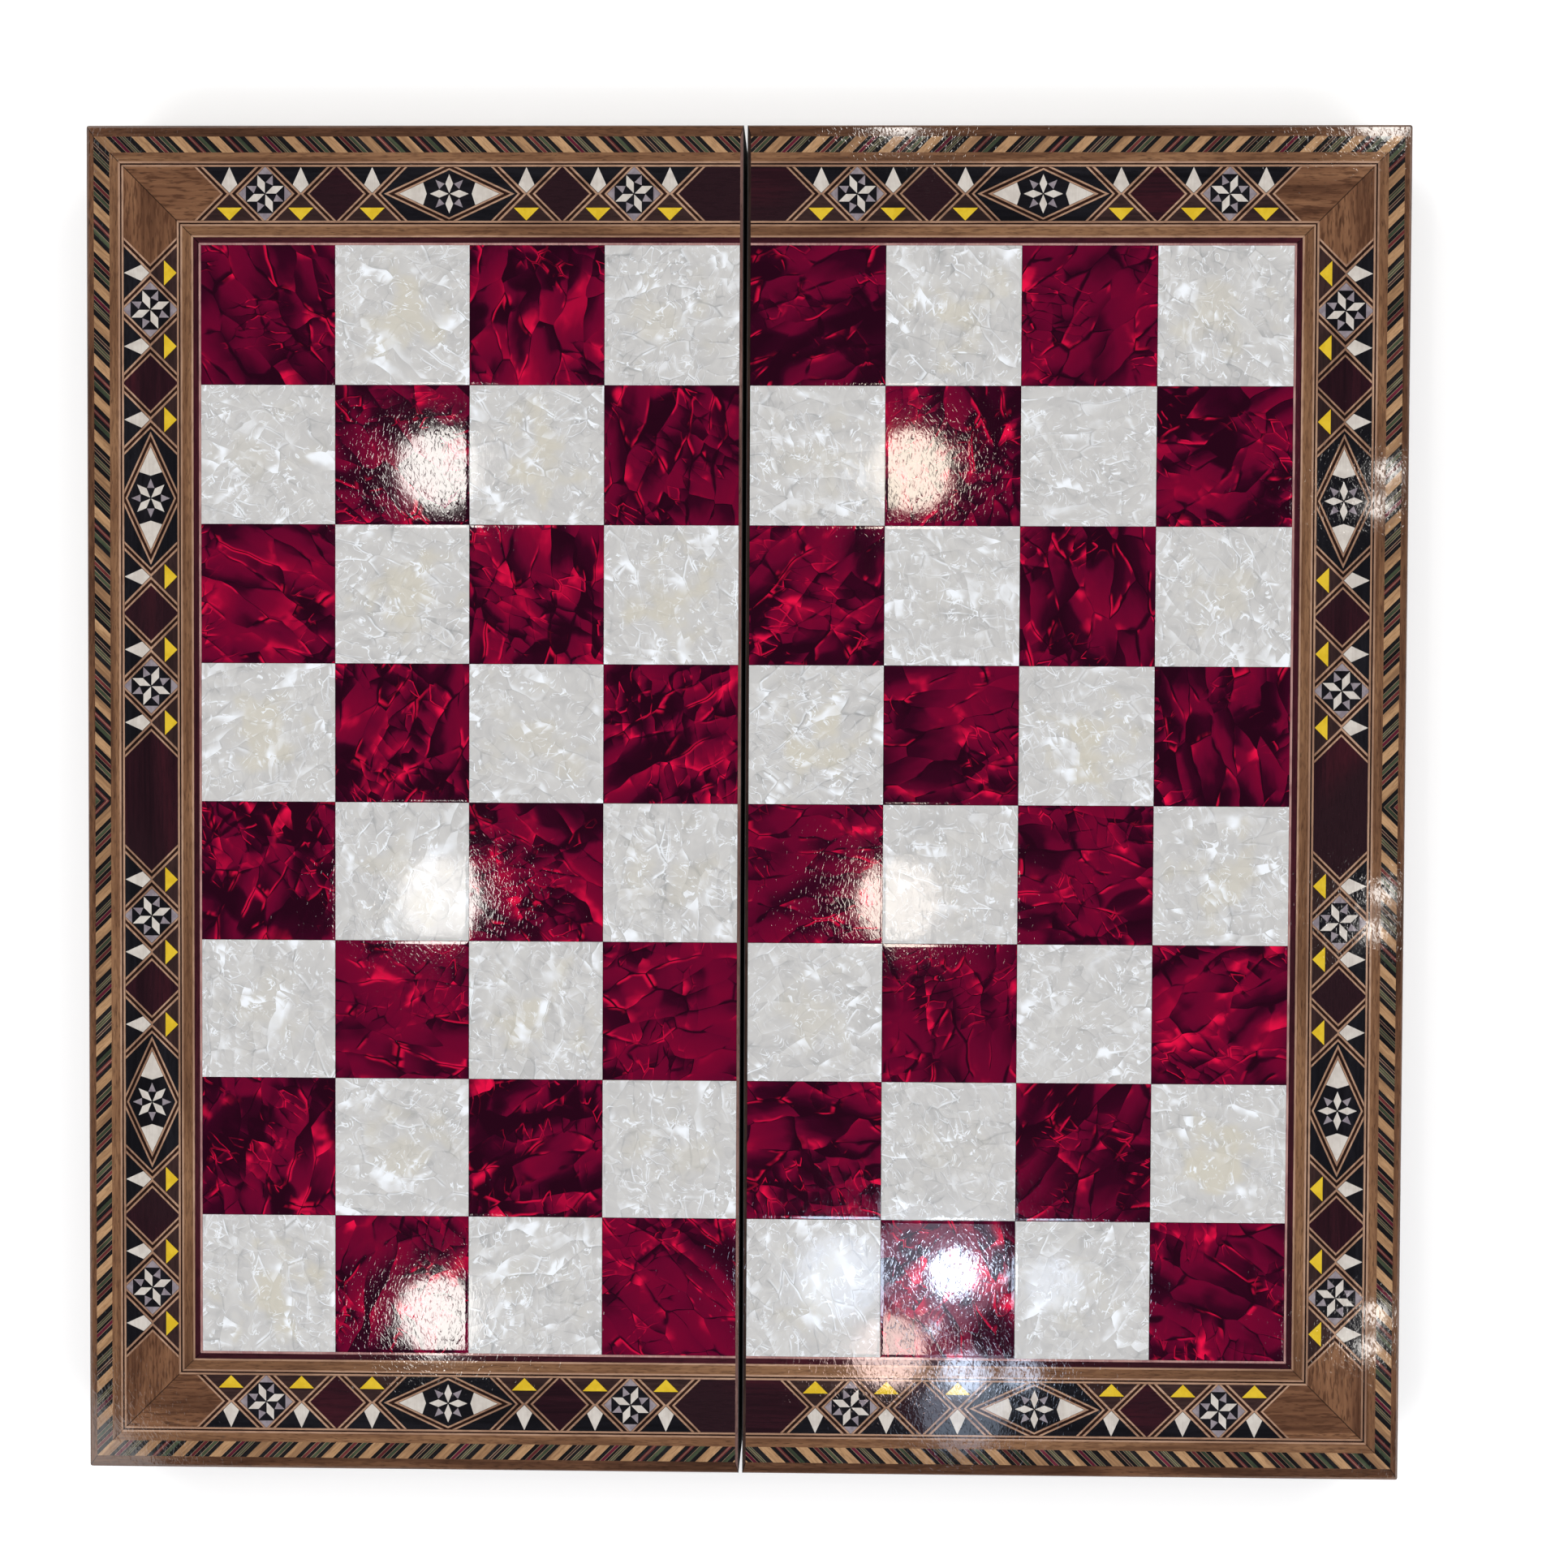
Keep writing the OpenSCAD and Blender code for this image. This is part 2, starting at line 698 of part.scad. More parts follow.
module points(first) {
  for (i = [0:point_count - 1], way = [0, 1])
    if ((i + way) % 2 == first) mirror_if(way == 1, [0, 1, 0]) polygon(point_outline(i));
}

module floor_veneer(side) {
  color(field_veneer) place(side) translate([0, 0, floor_z]) linear_extrude(veneer_t) difference() {
    translate([rail_t, -tray_half_l]) square([tray_w, 2 * tray_half_l]);
    points(0);
    points(1);
  }
}

module pale_points(side) {
  color(pale_wood) place(side) translate([0, 0, floor_z]) linear_extrude(veneer_t)
    points(side == "left" ? 0 : 1);
}

module dark_points(side) {
  color(dark_wood) place(side) translate([0, 0, floor_z]) linear_extrude(veneer_t)
    points(side == "left" ? 1 : 0);
}

module catch_magnets(side) {
  color(steel) place(side) for (y = [-magnet_y, magnet_y])
    translate([rail_t / 2, y, leaf_z]) cylinder(r = magnet_r, h = magnet_t);
}

// Hinges lie on the axis of the fold, under the seam
module hinge_leaf(first) {
  difference() {
    union() {
      translate([-leaf_end, -hinge_l / 2, leaf_z]) cube([leaf_end - leaf_x, hinge_l, leaf_t]);
      for (k = [first:2:knuckles - 1])
        translate([0, -hinge_l / 2 + k * knuckle_l + knuckle_play / 2, 0]) {
          translate([0, 0, axis_z]) rotate([-90, 0, 0])
            cylinder(r = knuckle_r, h = knuckle_l - knuckle_play);
          translate([-leaf_x - root_lap, 0, leaf_z])
            cube([leaf_x + root_lap, knuckle_l - knuckle_play, leaf_t]);
        }
    }
    translate([0, -hinge_l / 2 - over, axis_z]) rotate([-90, 0, 0])
      cylinder(r = pin_r + pin_play, h = hinge_l + 2 * over);
    for (y = screw_ys) translate([-screw_x, y, leaf_z]) {
      translate([0, 0, -over]) cylinder(r = screw_r + fit_play, h = leaf_t + 2 * over);
      cylinder(r1 = head_r + fit_play, r2 = screw_r + fit_play, h = head_h);
    }
  }
}

module hinge_leaves(side) {
  color(brass) mirror_if(side == "right", [1, 0, 0])
    for (y = hinge_ys) translate([0, y, 0]) hinge_leaf(side == "left" ? 0 : 1);
}

module hinge_pins() {
  color(brass) for (y = hinge_ys)
    translate([0, y - hinge_l / 2, axis_z]) rotate([-90, 0, 0]) cylinder(r = pin_r, h = hinge_l);
}

module hinge_screw() {
  difference() {
    union() {
      cylinder(r = screw_r, h = screw_l - screw_r);
      cylinder(r1 = head_r, r2 = screw_r, h = head_h);
      translate([0, 0, screw_l - screw_r]) cylinder(r1 = screw_r, r2 = screw_r / 4, h = screw_r);
    }
    translate([-slot_w / 2, -head_r - over, -over])
      cube([slot_w, 2 * (head_r + over), over + head_h / 2]);
  }
}

module hinge_screws(side) {
  color(brass) mirror_if(side == "right", [1, 0, 0])
    for (y = hinge_ys, s = screw_ys) translate([-screw_x, y + s, leaf_z]) hinge_screw();
}

// Both halves
base_panel("left");  // left_base_panel
outer_rail("left");  // left_outer_rail
spine_rail("left");  // left_spine_rail
head_rail("left");  // left_head_rail
foot_rail("left");  // left_foot_rail
pale_banding("left");  // left_pale_banding
dark_banding("left");  // left_dark_banding
walnut_fillets("left");  // left_walnut_fillets
pale_stringing("left");  // left_pale_stringing
dark_stringing("left");  // left_dark_stringing
ebony_grounds("left");  // left_ebony_grounds
star_grounds("left");  // left_star_grounds
brown_grounds("left");  // left_brown_grounds
bone_kites("left");  // left_bone_kites
yellow_triangles("left");  // left_yellow_triangles
bone_stars("left");  // left_bone_stars
grey_stars("left");  // left_grey_stars
rosewood_panels("left");  // left_rosewood_panels
walnut_corners("left");  // left_walnut_corners
maroon_border("left");  // left_maroon_border
pink_line("left");  // left_pink_line
red_squares("left");  // left_red_squares
pearl_squares("left");  // left_pearl_squares
floor_veneer("left");  // left_floor_veneer
pale_points("left");  // left_pale_points
dark_points("left");  // left_dark_points
catch_magnets("left");  // left_catch_magnets
hinge_leaves("left");  // left_hinge_leaves
hinge_screws("left");  // left_hinge_screws
hinge_pins();
base_panel("right");  // right_base_panel
outer_rail("right");  // right_outer_rail
spine_rail("right");  // right_spine_rail
head_rail("right");  // right_head_rail
foot_rail("right");  // right_foot_rail
pale_banding("right");  // right_pale_banding
dark_banding("right");  // right_dark_banding
walnut_fillets("right");  // right_walnut_fillets
pale_stringing("right");  // right_pale_stringing
dark_stringing("right");  // right_dark_stringing
ebony_grounds("right");  // right_ebony_grounds
star_grounds("right");  // right_star_grounds
brown_grounds("right");  // right_brown_grounds
bone_kites("right");  // right_bone_kites
yellow_triangles("right");  // right_yellow_triangles
bone_stars("right");  // right_bone_stars
grey_stars("right");  // right_grey_stars
rosewood_panels("right");  // right_rosewood_panels
walnut_corners("right");  // right_walnut_corners
maroon_border("right");  // right_maroon_border
pink_line("right");  // right_pink_line
red_squares("right");  // right_red_squares
pearl_squares("right");  // right_pearl_squares
floor_veneer("right");  // right_floor_veneer
pale_points("right");  // right_pale_points
dark_points("right");  // right_dark_points
catch_magnets("right");  // right_catch_magnets
hinge_leaves("right");  // right_hinge_leaves
hinge_screws("right");  // right_hinge_screws
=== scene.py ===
"""Scene of a folding inlaid games box that lies open with its chessboard up.

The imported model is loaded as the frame. The flat pieces of the inlay keep their nodes and get
their finishes here. The laminated slats of the banding and the brass hinges are modelled here
and stand for their nodes. All lengths are in metres, and colours are as a screen shows them.
"""
import logging
import math
import random
from dataclasses import dataclass, field
from enum import Enum
from typing import Any, Callable, Iterable, Sequence

import bpy
from mathutils import Matrix, Vector


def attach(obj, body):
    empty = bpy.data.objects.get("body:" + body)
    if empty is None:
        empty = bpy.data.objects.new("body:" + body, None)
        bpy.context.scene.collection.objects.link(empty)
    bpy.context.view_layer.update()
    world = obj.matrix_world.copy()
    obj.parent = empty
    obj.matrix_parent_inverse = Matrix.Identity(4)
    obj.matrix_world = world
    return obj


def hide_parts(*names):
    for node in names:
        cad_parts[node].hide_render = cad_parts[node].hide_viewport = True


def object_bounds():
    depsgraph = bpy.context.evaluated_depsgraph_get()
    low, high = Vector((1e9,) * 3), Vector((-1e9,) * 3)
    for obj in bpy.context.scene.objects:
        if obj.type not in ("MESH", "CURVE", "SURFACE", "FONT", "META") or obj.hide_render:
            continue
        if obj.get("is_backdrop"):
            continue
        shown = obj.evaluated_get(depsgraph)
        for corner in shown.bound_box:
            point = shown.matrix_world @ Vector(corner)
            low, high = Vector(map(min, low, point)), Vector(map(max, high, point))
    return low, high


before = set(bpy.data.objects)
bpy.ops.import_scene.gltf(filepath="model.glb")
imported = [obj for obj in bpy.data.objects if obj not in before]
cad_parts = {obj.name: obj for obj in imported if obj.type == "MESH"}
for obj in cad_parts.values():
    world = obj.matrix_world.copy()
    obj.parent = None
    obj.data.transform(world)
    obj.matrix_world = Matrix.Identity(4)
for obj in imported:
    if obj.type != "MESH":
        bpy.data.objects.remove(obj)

log = logging.getLogger("games_box")

MM = 0.001
Colour = tuple[float, float, float]
Cells = tuple[float, float, float]
Range = tuple[float, float]
Socket = bpy.types.NodeSocket
Outputs = bpy.types.NodeOutputs
Thing = bpy.types.Object

FADE: Range = (1.0, 0.0)
MIX_SOCKETS = {"FLOAT": (2, 0), "VECTOR": (4, 1), "RGBA": (6, 2)}


def srgb(red: float, green: float, blue: float) -> tuple[float, float, float, float]:
    """Turns a colour as it looks on a screen into a shader's linear colour.

    Args:
        red: red from 0 to 255.
        green: green from 0 to 255.
        blue: blue from 0 to 255.

    Returns:
        The linear red, green, blue and an alpha of 1.
    """
    def linear(value: float) -> float:
        """Undoes the screen's curve for one channel."""
        part = value / 255
        return part / 12.92 if part <= 0.04045 else ((part + 0.055) / 1.055) ** 2.4

    return linear(red), linear(green), linear(blue), 1.0


class Half(Enum):
    """One half of the box, with its body and the side of the seam that it lies on."""

    LEFT = "left"
    RIGHT = "right"

    @property
    def body(self) -> str:
        """Returns the name of the body that this half's pieces ride on."""
        return f"{self.value}_half"

    @property
    def way(self) -> int:
        """Returns the sign of X on this half."""
        return -1 if self is Half.LEFT else 1

    def node(self, name: str) -> str:
        """Returns the name of this half's node."""
        return f"{self.value}_{name}"


class Grain(Enum):
    """How the grain of a wood lies on the box."""

    ALONG_SEAM = "along the seam"
    ACROSS_SEAM = "across the seam"
    MITRED = "along each strip, turning at the mitres"
    SLANTED = "parallel to the nearest corner's diagonal"


@dataclass(frozen=True)
class BoxSizes:
    """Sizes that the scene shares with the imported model."""

    half_length: float = 253 * MM
    outer_x: float = 247.2 * MM
    seam_x: float = 0.7 * MM
    seat_z: float = 37.5 * MM
    inlay_z: float = 42.5 * MM
    top_z: float = 44.3 * MM
    rail: float = 11 * MM
    side_lip: float = 2.9 * MM
    end_lip: float = 4.3 * MM
    spine_lip: float = 1.3 * MM
    square_w: float = 50.5 * MM
    square_l: float = 52.1 * MM
    squares_x: float = 2.0 * MM
    squares_y: float = 208.4 * MM


@dataclass(frozen=True)
class PatternSizes:
    """Sizes of the patterns that the shared effects draw, with their cells counted to a metre.

    The shifts, the seeds and the spread keep halves, ends and squares from looking alike. Each of
    the strokes is an angle and a depth. A range's first number is where a mark starts to change.
    """

    half_shift: float = 0.37
    end_shift: float = 0.71
    joint_line: Range = (0.08 * MM, 0.22 * MM)
    mitre_line: Range = (0.12 * MM, 0.32 * MM)
    arris_band: Range = (0.25 * MM, 1.1 * MM)
    arris_drop: Range = (1.1 * MM, 0.3 * MM)
    seam_face: Range = (0.1 * MM, 0.4 * MM)
    square_edge: Range = (0.1 * MM, 1.3 * MM)
    grain_range: Range = (0.3, 0.7)
    dash_range: Range = (0.47, 0.66)
    pore_range: Range = (0.62, 0.72)
    figure: Cells = (9, 95, 95)
    figure_stir: float = 0.8
    fibre: Cells = (35, 950, 950)
    dashes: Cells = (210, 1250, 1250)
    pores: Cells = (330, 2500, 2500)
    wave: float = 70
    joint_sink: float = 1.5
    stroke: Cells = (1250, 380, 380)
    stroke_range: Range = (0.53, 0.76)
    strokes: tuple[Range, ...] = ((0.15, 0.4), (-0.55, 0.26))
    nib_cells: float = 560.0
    nib_reach: float = 0.12
    nib_rarity: float = 6.0
    nib_least: float = 0.1
    nib_growth: float = 0.8
    peen_depth: float = 0.012 * MM
    scratch: Cells = (1500, 130, 130)
    scratch_range: Range = (0.6, 0.74)
    gloss: Range = (0.036, 0.066)
    raw_roughness: float = 0.9
    half_seed: float = 7.0
    board_seed: float = 3.0
    square_spread: float = 9.0


@dataclass(frozen=True)
class CrumpleSizes:
    """How the shared effects crumple a film and paint the light and shade of its facets and folds.

    Names in cells are shares of the film's own cells. A range says where a mark starts and where it
    is full, and a share is how much of one thing goes into another.
    """

    stir_cells: float = 0.5
    stir_reach: float = 0.6
    width_cells: float = 1.2
    width_range: Range = (0.4, 0.66)
    crease_widths: Range = (0.02, 0.13)
    fold_inside: Range = (0.01, 0.04)
    fold_outside: Range = (0.05, 0.14)
    fold_range: Range = (0.55, 0.75)
    fine_turn: float = 1.15
    fine_cells: float = 2.2
    slow_cells: float = 0.4
    busy_range: Range = (0.47, 0.6)
    torn_cells: float = 0.9
    torn_coarse: Range = (0.42, 0.56)
    torn_fine: Range = (0.5, 0.6)
    torn_rest: Range = (1.0, 0.15)
    satin_cells: float = 2.4
    satin_squeeze: float = 0.4
    satin_share: float = 0.5
    lean_share: float = 0.9
    level_share: float = 0.5
    fine_share: float = 0.7
    fine_level_share: float = 0.6
    fine_crease_share: float = 0.8
    pool_share: float = 0.22
    pool_range: Range = (0.52, 0.6)
    glint_range: Range = (0.46, 0.58)


BOX = BoxSizes()
PATTERN = PatternSizes()
CRUMPLE = CrumpleSizes()


class Graph:
    """Places and links the nodes of one node tree."""

    def __init__(self, tree: bpy.types.NodeTree) -> None:
        """Starts on a tree, which may already hold nodes."""
        self.tree = tree

    def node(self, kind: str, inputs: dict[Any, Any] | None = None,
             **settings: Any) -> bpy.types.Node:
        """Adds a node.

        Args:
            kind: Blender's name of the node's type.
            inputs: what goes into its sockets, by their name or number.
            settings: its own settings.

        Returns:
            The new node.
        """
        made = self.tree.nodes.new(kind)
        for name, value in settings.items():
            setattr(made, name, value)
        for name, value in (inputs or {}).items():
            self.feed(made.inputs[name], value)
        return made

    def feed(self, socket: Socket, value: Any) -> None:
        """Links another node to a socket, or sets the socket.

        Args:
            socket: the socket.
            value: a node's output, or a plain value.
        """
        if isinstance(value, bpy.types.NodeSocket):
            self.tree.links.new(value, socket)
        else:
            socket.default_value = value

    def math(self, operation: str, *values: Any) -> Socket:
        """Returns the result of a sum on numbers."""
        return self.node("ShaderNodeMath", dict(enumerate(values)), operation=operation).outputs[0]

    def plus(self, first: Any, second: Any) -> Socket:
        """Returns first plus second."""
        return self.math("ADD", first, second)

    def minus(self, first: Any, second: Any) -> Socket:
        """Returns first minus second."""
        return self.math("SUBTRACT", first, second)

    def times(self, first: Any, second: Any) -> Socket:
        """Returns first times second."""
        return self.math("MULTIPLY", first, second)

    def times_plus(self, first: Any, second: Any, third: Any) -> Socket:
        """Returns first times second, plus third."""
        return self.math("MULTIPLY_ADD", first, second, third)

    def divided(self, first: Any, second: Any) -> Socket:
        """Returns first divided by second."""
        return self.math("DIVIDE", first, second)

    def most(self, first: Any, second: Any) -> Socket:
        """Returns the larger of two numbers."""
        return self.math("MAXIMUM", first, second)

    def least(self, first: Any, second: Any) -> Socket:
        """Returns the smaller of two numbers."""
        return self.math("MINIMUM", first, second)

    def size(self, value: Any) -> Socket:
        """Returns a number without its sign."""
        return self.math("ABSOLUTE", value)

    def sign(self, value: Any) -> Socket:
        """Returns a number's sign, from -1 to 1."""
        return self.math("SIGN", value)

    def floor(self, value: Any) -> Socket:
        """Rounds a number down."""
        return self.math("FLOOR", value)

    def vector(self, operation: str, *values: Any) -> Socket:
        """Returns the result of a sum on vectors, which is a number for LENGTH and DOT_PRODUCT."""
        made = self.node("ShaderNodeVectorMath", dict(enumerate(values)), operation=operation)
        return made.outputs["Value" if operation in ("LENGTH", "DOT_PRODUCT") else "Vector"]

    def scaled(self, vector: Socket, x: float, y: float, z: float) -> Socket:
        """Stretches a vector by a factor on each axis."""
        return self.vector("MULTIPLY", vector, (x, y, z))

    def resized(self, vector: Socket, factor: Any) -> Socket:
        """Stretches a vector by one factor."""
        made = self.node("ShaderNodeVectorMath", {0: vector, "Scale": factor}, operation="SCALE")
        return made.outputs["Vector"]

    def turned(self, vector: Socket, angle: Any) -> Socket:
        """Turns a vector about Z by an angle in radians."""
        return self.node("ShaderNodeVectorRotate", {"Vector": vector, "Angle": angle}).outputs[0]

    def split(self, vector: Socket) -> tuple[Socket, Socket, Socket]:
        """Returns the X, Y and Z of a vector."""
        made = self.node("ShaderNodeSeparateXYZ", {0: vector})
        return made.outputs[0], made.outputs[1], made.outputs[2]

    def join(self, x: Any, y: Any, z: Any) -> Socket:
        """Makes a vector from its X, Y and Z."""
        return self.node("ShaderNodeCombineXYZ", {0: x, 1: y, 2: z}).outputs[0]

    def span(self, value: Any, low: Any, high: Any, to: Range = (0.0, 1.0)) -> Socket:
        """Maps a number smoothly from one range to another.

        Args:
            value: the number.
            low: the value at which the result starts to change.
            high: the value at which it has changed.
            to: the result at low and at high.

        Returns:
            The mapped number.
        """
        made = self.node("ShaderNodeMapRange", {0: value, 1: low, 2: high, 3: to[0], 4: to[1]},
                         interpolation_type="SMOOTHSTEP")
        return made.outputs[0]

    def noise(self, vector: Socket, scale: Any, detail: float = 2.0, flat: bool = False,
              distortion: float = 0.0, colour: bool = False) -> Socket:
        """Adds a noise texture.

        Args:
            vector: where it is read.
            scale: its cells to a metre.
            detail: its octaves.
            flat: whether it is a pattern in X and Y only.
            distortion: how much it is stirred.
            colour: whether three numbers are wanted, as a colour, and not one.

        Returns:
            The number or the colour.
        """
        made = self.node("ShaderNodeTexNoise", {"Vector": vector, "Scale": scale, "Detail": detail,
                                                "Distortion": distortion},
                         noise_dimensions="2D" if flat else "3D")
        return made.outputs[int(colour)]

    def mix(self, amount: Any, first: Any, second: Any, kind: str = "RGBA") -> Socket:
        """Mixes two colours, numbers or vectors.

        Args:
            amount: share of the second, from 0 to 1.
            first: the first, as an output or a plain colour.
            second: the second, in the same form.
            kind: RGBA, FLOAT or VECTOR.

        Returns:
            The mixture.
        """
        place, result = MIX_SOCKETS[kind]
        made = self.node("ShaderNodeMix", {0: amount}, data_type=kind)
        for index, value in enumerate((first, second), place):
            self.feed(made.inputs[index], srgb(*value) if isinstance(value, tuple) else value)
        return made.outputs[result]

    def ramp(self, value: Any, stops: Sequence[tuple[float, Colour]]) -> Socket:
        """Turns a number into a colour.

        Args:
            value: the number.
            stops: each place from 0 to 1 with its colour.

        Returns:
            The colour.
        """
        made = self.node("ShaderNodeValToRGB", {0: value})
        band = made.color_ramp
        while len(band.elements) < len(stops):
            band.elements.new(0.5)
        for element, (place, colour) in zip(band.elements, stops):
            element.position = place
            element.color = srgb(*colour)
        return made.outputs[0]

    def bump(self, height: Socket, depth: float) -> Socket:
        """Turns a height into a normal, where a height of 1 stands out by the depth."""
        made = self.node("ShaderNodeBump", {"Strength": 1.0, "Distance": depth, "Height": height})
        return made.outputs[0]

    def group(self, tree: bpy.types.NodeTree, **inputs: Any) -> Outputs:
        """Places a shared effect.

        Args:
            tree: the effect's group.
            inputs: what goes into it.

        Returns:
            Its outputs.
        """
        made = self.node("ShaderNodeGroup")
        made.node_tree = tree
        for name, value in inputs.items():
            self.feed(made.inputs[name], value)
        return made.outputs


class Effect:
    """A shared effect that is being built as a node group."""

    def __init__(self, name: str, inputs: dict[str, str], outputs: dict[str, str]) -> None:
        """Opens the group.

        Args:
            name: the group's name.
            inputs: its inputs, with the type of each.
            outputs: its outputs, with the type of each.
        """
        self.tree = bpy.data.node_groups.new(name, "ShaderNodeTree")
        for way, sockets in (("INPUT", inputs), ("OUTPUT", outputs)):
            for label, kind in sockets.items():
                self.tree.interface.new_socket(name=label, in_out=way,
                                               socket_type=f"NodeSocket{kind}")
        self.graph = Graph(self.tree)
        self.inputs = self.graph.node("NodeGroupInput").outputs
        self.result = self.graph.node("NodeGroupOutput")

    def put_out(self, **values: Socket) -> bpy.types.NodeTree:
        """Links the group's outputs, which ends the building.

        Args:
            values: what comes out, by the outputs' names.

        Returns:
            The group.
        """
        for label, value in values.items():
            self.graph.feed(self.result.inputs[label], value)
        return self.tree


class Effects:
    """The effects that more than one finish uses, each built once."""

    def __init__(self) -> None:
        """Builds every group."""
        self.border = self._border()
        self.rail = self._rail()
        self.wood = self._wood()
        self.varnish = self._varnish()
        self.square = self._square()
        self.facets = self._facets()
        self.film = self._film()

    def _border(self) -> bpy.types.NodeTree:
        """Finds directions in the border: along each strip, along each slat and to the mitre.

        Returns:
            The group.
        """
        effect = Effect("border_directions", {"Vector": "Vector"},
                        {"Along": "Vector", "Slant": "Vector", "Mitre": "Float"})
        g = effect.graph
        x, y, z = g.split(effect.inputs["Vector"])
        far_x, far_y = g.size(x), g.size(y)
        depth_x = g.minus(BOX.outer_x - BOX.side_lip, far_x)
        depth_y = g.minus(BOX.half_length - BOX.end_lip, far_y)
        on_side = g.math("LESS_THAN", depth_x, depth_y)
        half_shift = g.times(g.sign(x), PATTERN.half_shift)
        end_shift = g.times(g.sign(y), PATTERN.end_shift)
        level = g.plus(z, g.times_plus(g.minus(1.0, on_side), end_shift, half_shift))
        along = g.mix(on_side, g.join(x, y, level), g.join(y, x, level), "VECTOR")
        half_root = math.sqrt(0.5)
        slant = g.join(g.times(g.plus(far_x, far_y), half_root),
                       g.times(g.minus(far_x, far_y), half_root),
                       g.plus(z, g.plus(half_shift, end_shift)))
        return effect.put_out(Along=along, Slant=slant, Mitre=g.size(g.minus(depth_x, depth_y)))

    def _rail(self) -> bpy.types.NodeTree:
        """Finds the rails' mitre joints, the band along their outer top arrises and their seam
        faces.

        Returns:
            The group.
        """
        effect = Effect("rail_joints", {"Vector": "Vector"},
                        {"Joint": "Float", "Arris": "Float", "Seam": "Float"})
        g = effect.graph
        x, y, z = g.split(effect.inputs["Vector"])
        far_x, far_y = g.size(x), g.size(y)
        from_side = g.minus(BOX.outer_x, far_x)
        from_seam = g.minus(far_x, BOX.seam_x)
        from_end = g.minus(BOX.half_length, far_y)

        def off_line(run: Socket, lip: float, end: float) -> Socket:
            """Measures how far the line is on which two lips meet.

            Args:
                run: distance from the outer face of the lip that runs along the seam.
                lip: that lip's width.
                end: width of the lip at the head or foot.

            Returns:
                The distance.
            """
            size = math.hypot(lip, end)
            return g.size(g.minus(g.times(run, end / size), g.times(from_end, lip / size)))

        lip_joint = g.least(off_line(from_side, BOX.side_lip, BOX.end_lip),
                            off_line(from_seam, BOX.spine_lip, BOX.end_lip))
        rim_joint = g.least(off_line(from_side, BOX.rail, BOX.rail),
                            off_line(from_seam, BOX.rail, BOX.rail))
        is_lip = g.math("GREATER_THAN", z, BOX.seat_z)
        to_joint = g.mix(is_lip, rim_joint, lip_joint, "FLOAT")
        off_joint = g.most(to_joint, g.minus(from_end, BOX.rail))
        near = g.span(g.least(from_side, from_end), *PATTERN.arris_band, FADE)
        high = g.span(z, *(BOX.top_z - drop for drop in PATTERN.arris_drop))
        return effect.put_out(Joint=g.span(off_joint, *PATTERN.joint_line, FADE),
                              Arris=g.times(near, high),
                              Seam=g.span(from_seam, *PATTERN.seam_face, FADE))

    def _wood(self) -> bpy.types.NodeTree:
        """Draws grain that runs along X: broad figure, fine fibre, soft dashes and dark pores.

        Returns:
            The group.
        """
        effect = Effect("wood_grain", {"Vector": "Vector", "Fineness": "Float"},
                        {"Figure": "Float", "Fibre": "Float", "Dashes": "Float", "Pores": "Float"})
        g = effect.graph
        vector = g.resized(effect.inputs["Vector"], effect.inputs["Fineness"])
        figure = g.noise(g.scaled(vector, *PATTERN.figure), 1.0, 3.0,
                         distortion=PATTERN.figure_stir)
        fibre = g.noise(g.scaled(vector, *PATTERN.fibre), 1.0, 3.0)
        dashes = g.noise(g.scaled(vector, *PATTERN.dashes), 1.0, 2.0)
        pores = g.noise(g.scaled(vector, *PATTERN.pores), 1.0, 1.0)
        return effect.put_out(Figure=g.span(figure, *PATTERN.grain_range),
                              Fibre=g.span(fibre, *PATTERN.grain_range),
                              Dashes=g.span(dashes, *PATTERN.dash_range),
                              Pores=g.span(pores, *PATTERN.pore_range))

    def _varnish(self) -> bpy.types.NodeTree:
        """Draws brushed gloss varnish: slow waves, short strokes in two ways, nibs and scratches.

        Returns:
            The group.
        """
        effect = Effect("brushed_varnish", {"Vector": "Vector", "Edge": "Float"},
                        {"Normal": "Vector", "Roughness": "Float"})
        g = effect.graph
        vector = effect.inputs["Vector"]
        waves = g.noise(vector, PATTERN.wave, 1.0)
        height = g.times_plus(effect.inputs["Edge"], PATTERN.joint_sink, waves)
        for angle, depth in PATTERN.strokes:
            brushed = g.scaled(g.turned(vector, angle), *PATTERN.stroke)
            stroke = g.noise(brushed, 1.0, 1.0, distortion=0.5)
            height = g.times_plus(g.span(stroke, *PATTERN.stroke_range), depth, height)
        cells = g.node("ShaderNodeTexVoronoi",
                       {"Vector": vector, "Scale": PATTERN.nib_cells}).outputs
        size = g.math("POWER", g.split(cells["Color"])[0], PATTERN.nib_rarity)
        dome = g.span(cells["Distance"], 0.0, PATTERN.nib_reach, FADE)
        nib = g.times(g.times_plus(size, PATTERN.nib_growth, PATTERN.nib_least), dome)
        scratches = g.noise(g.scaled(vector, *PATTERN.scratch), 1.0, 1.0)
        return effect.put_out(Normal=g.bump(g.plus(nib, height), PATTERN.peen_depth),
                              Roughness=g.span(scratches, *PATTERN.scratch_range,
                                               PATTERN.gloss))

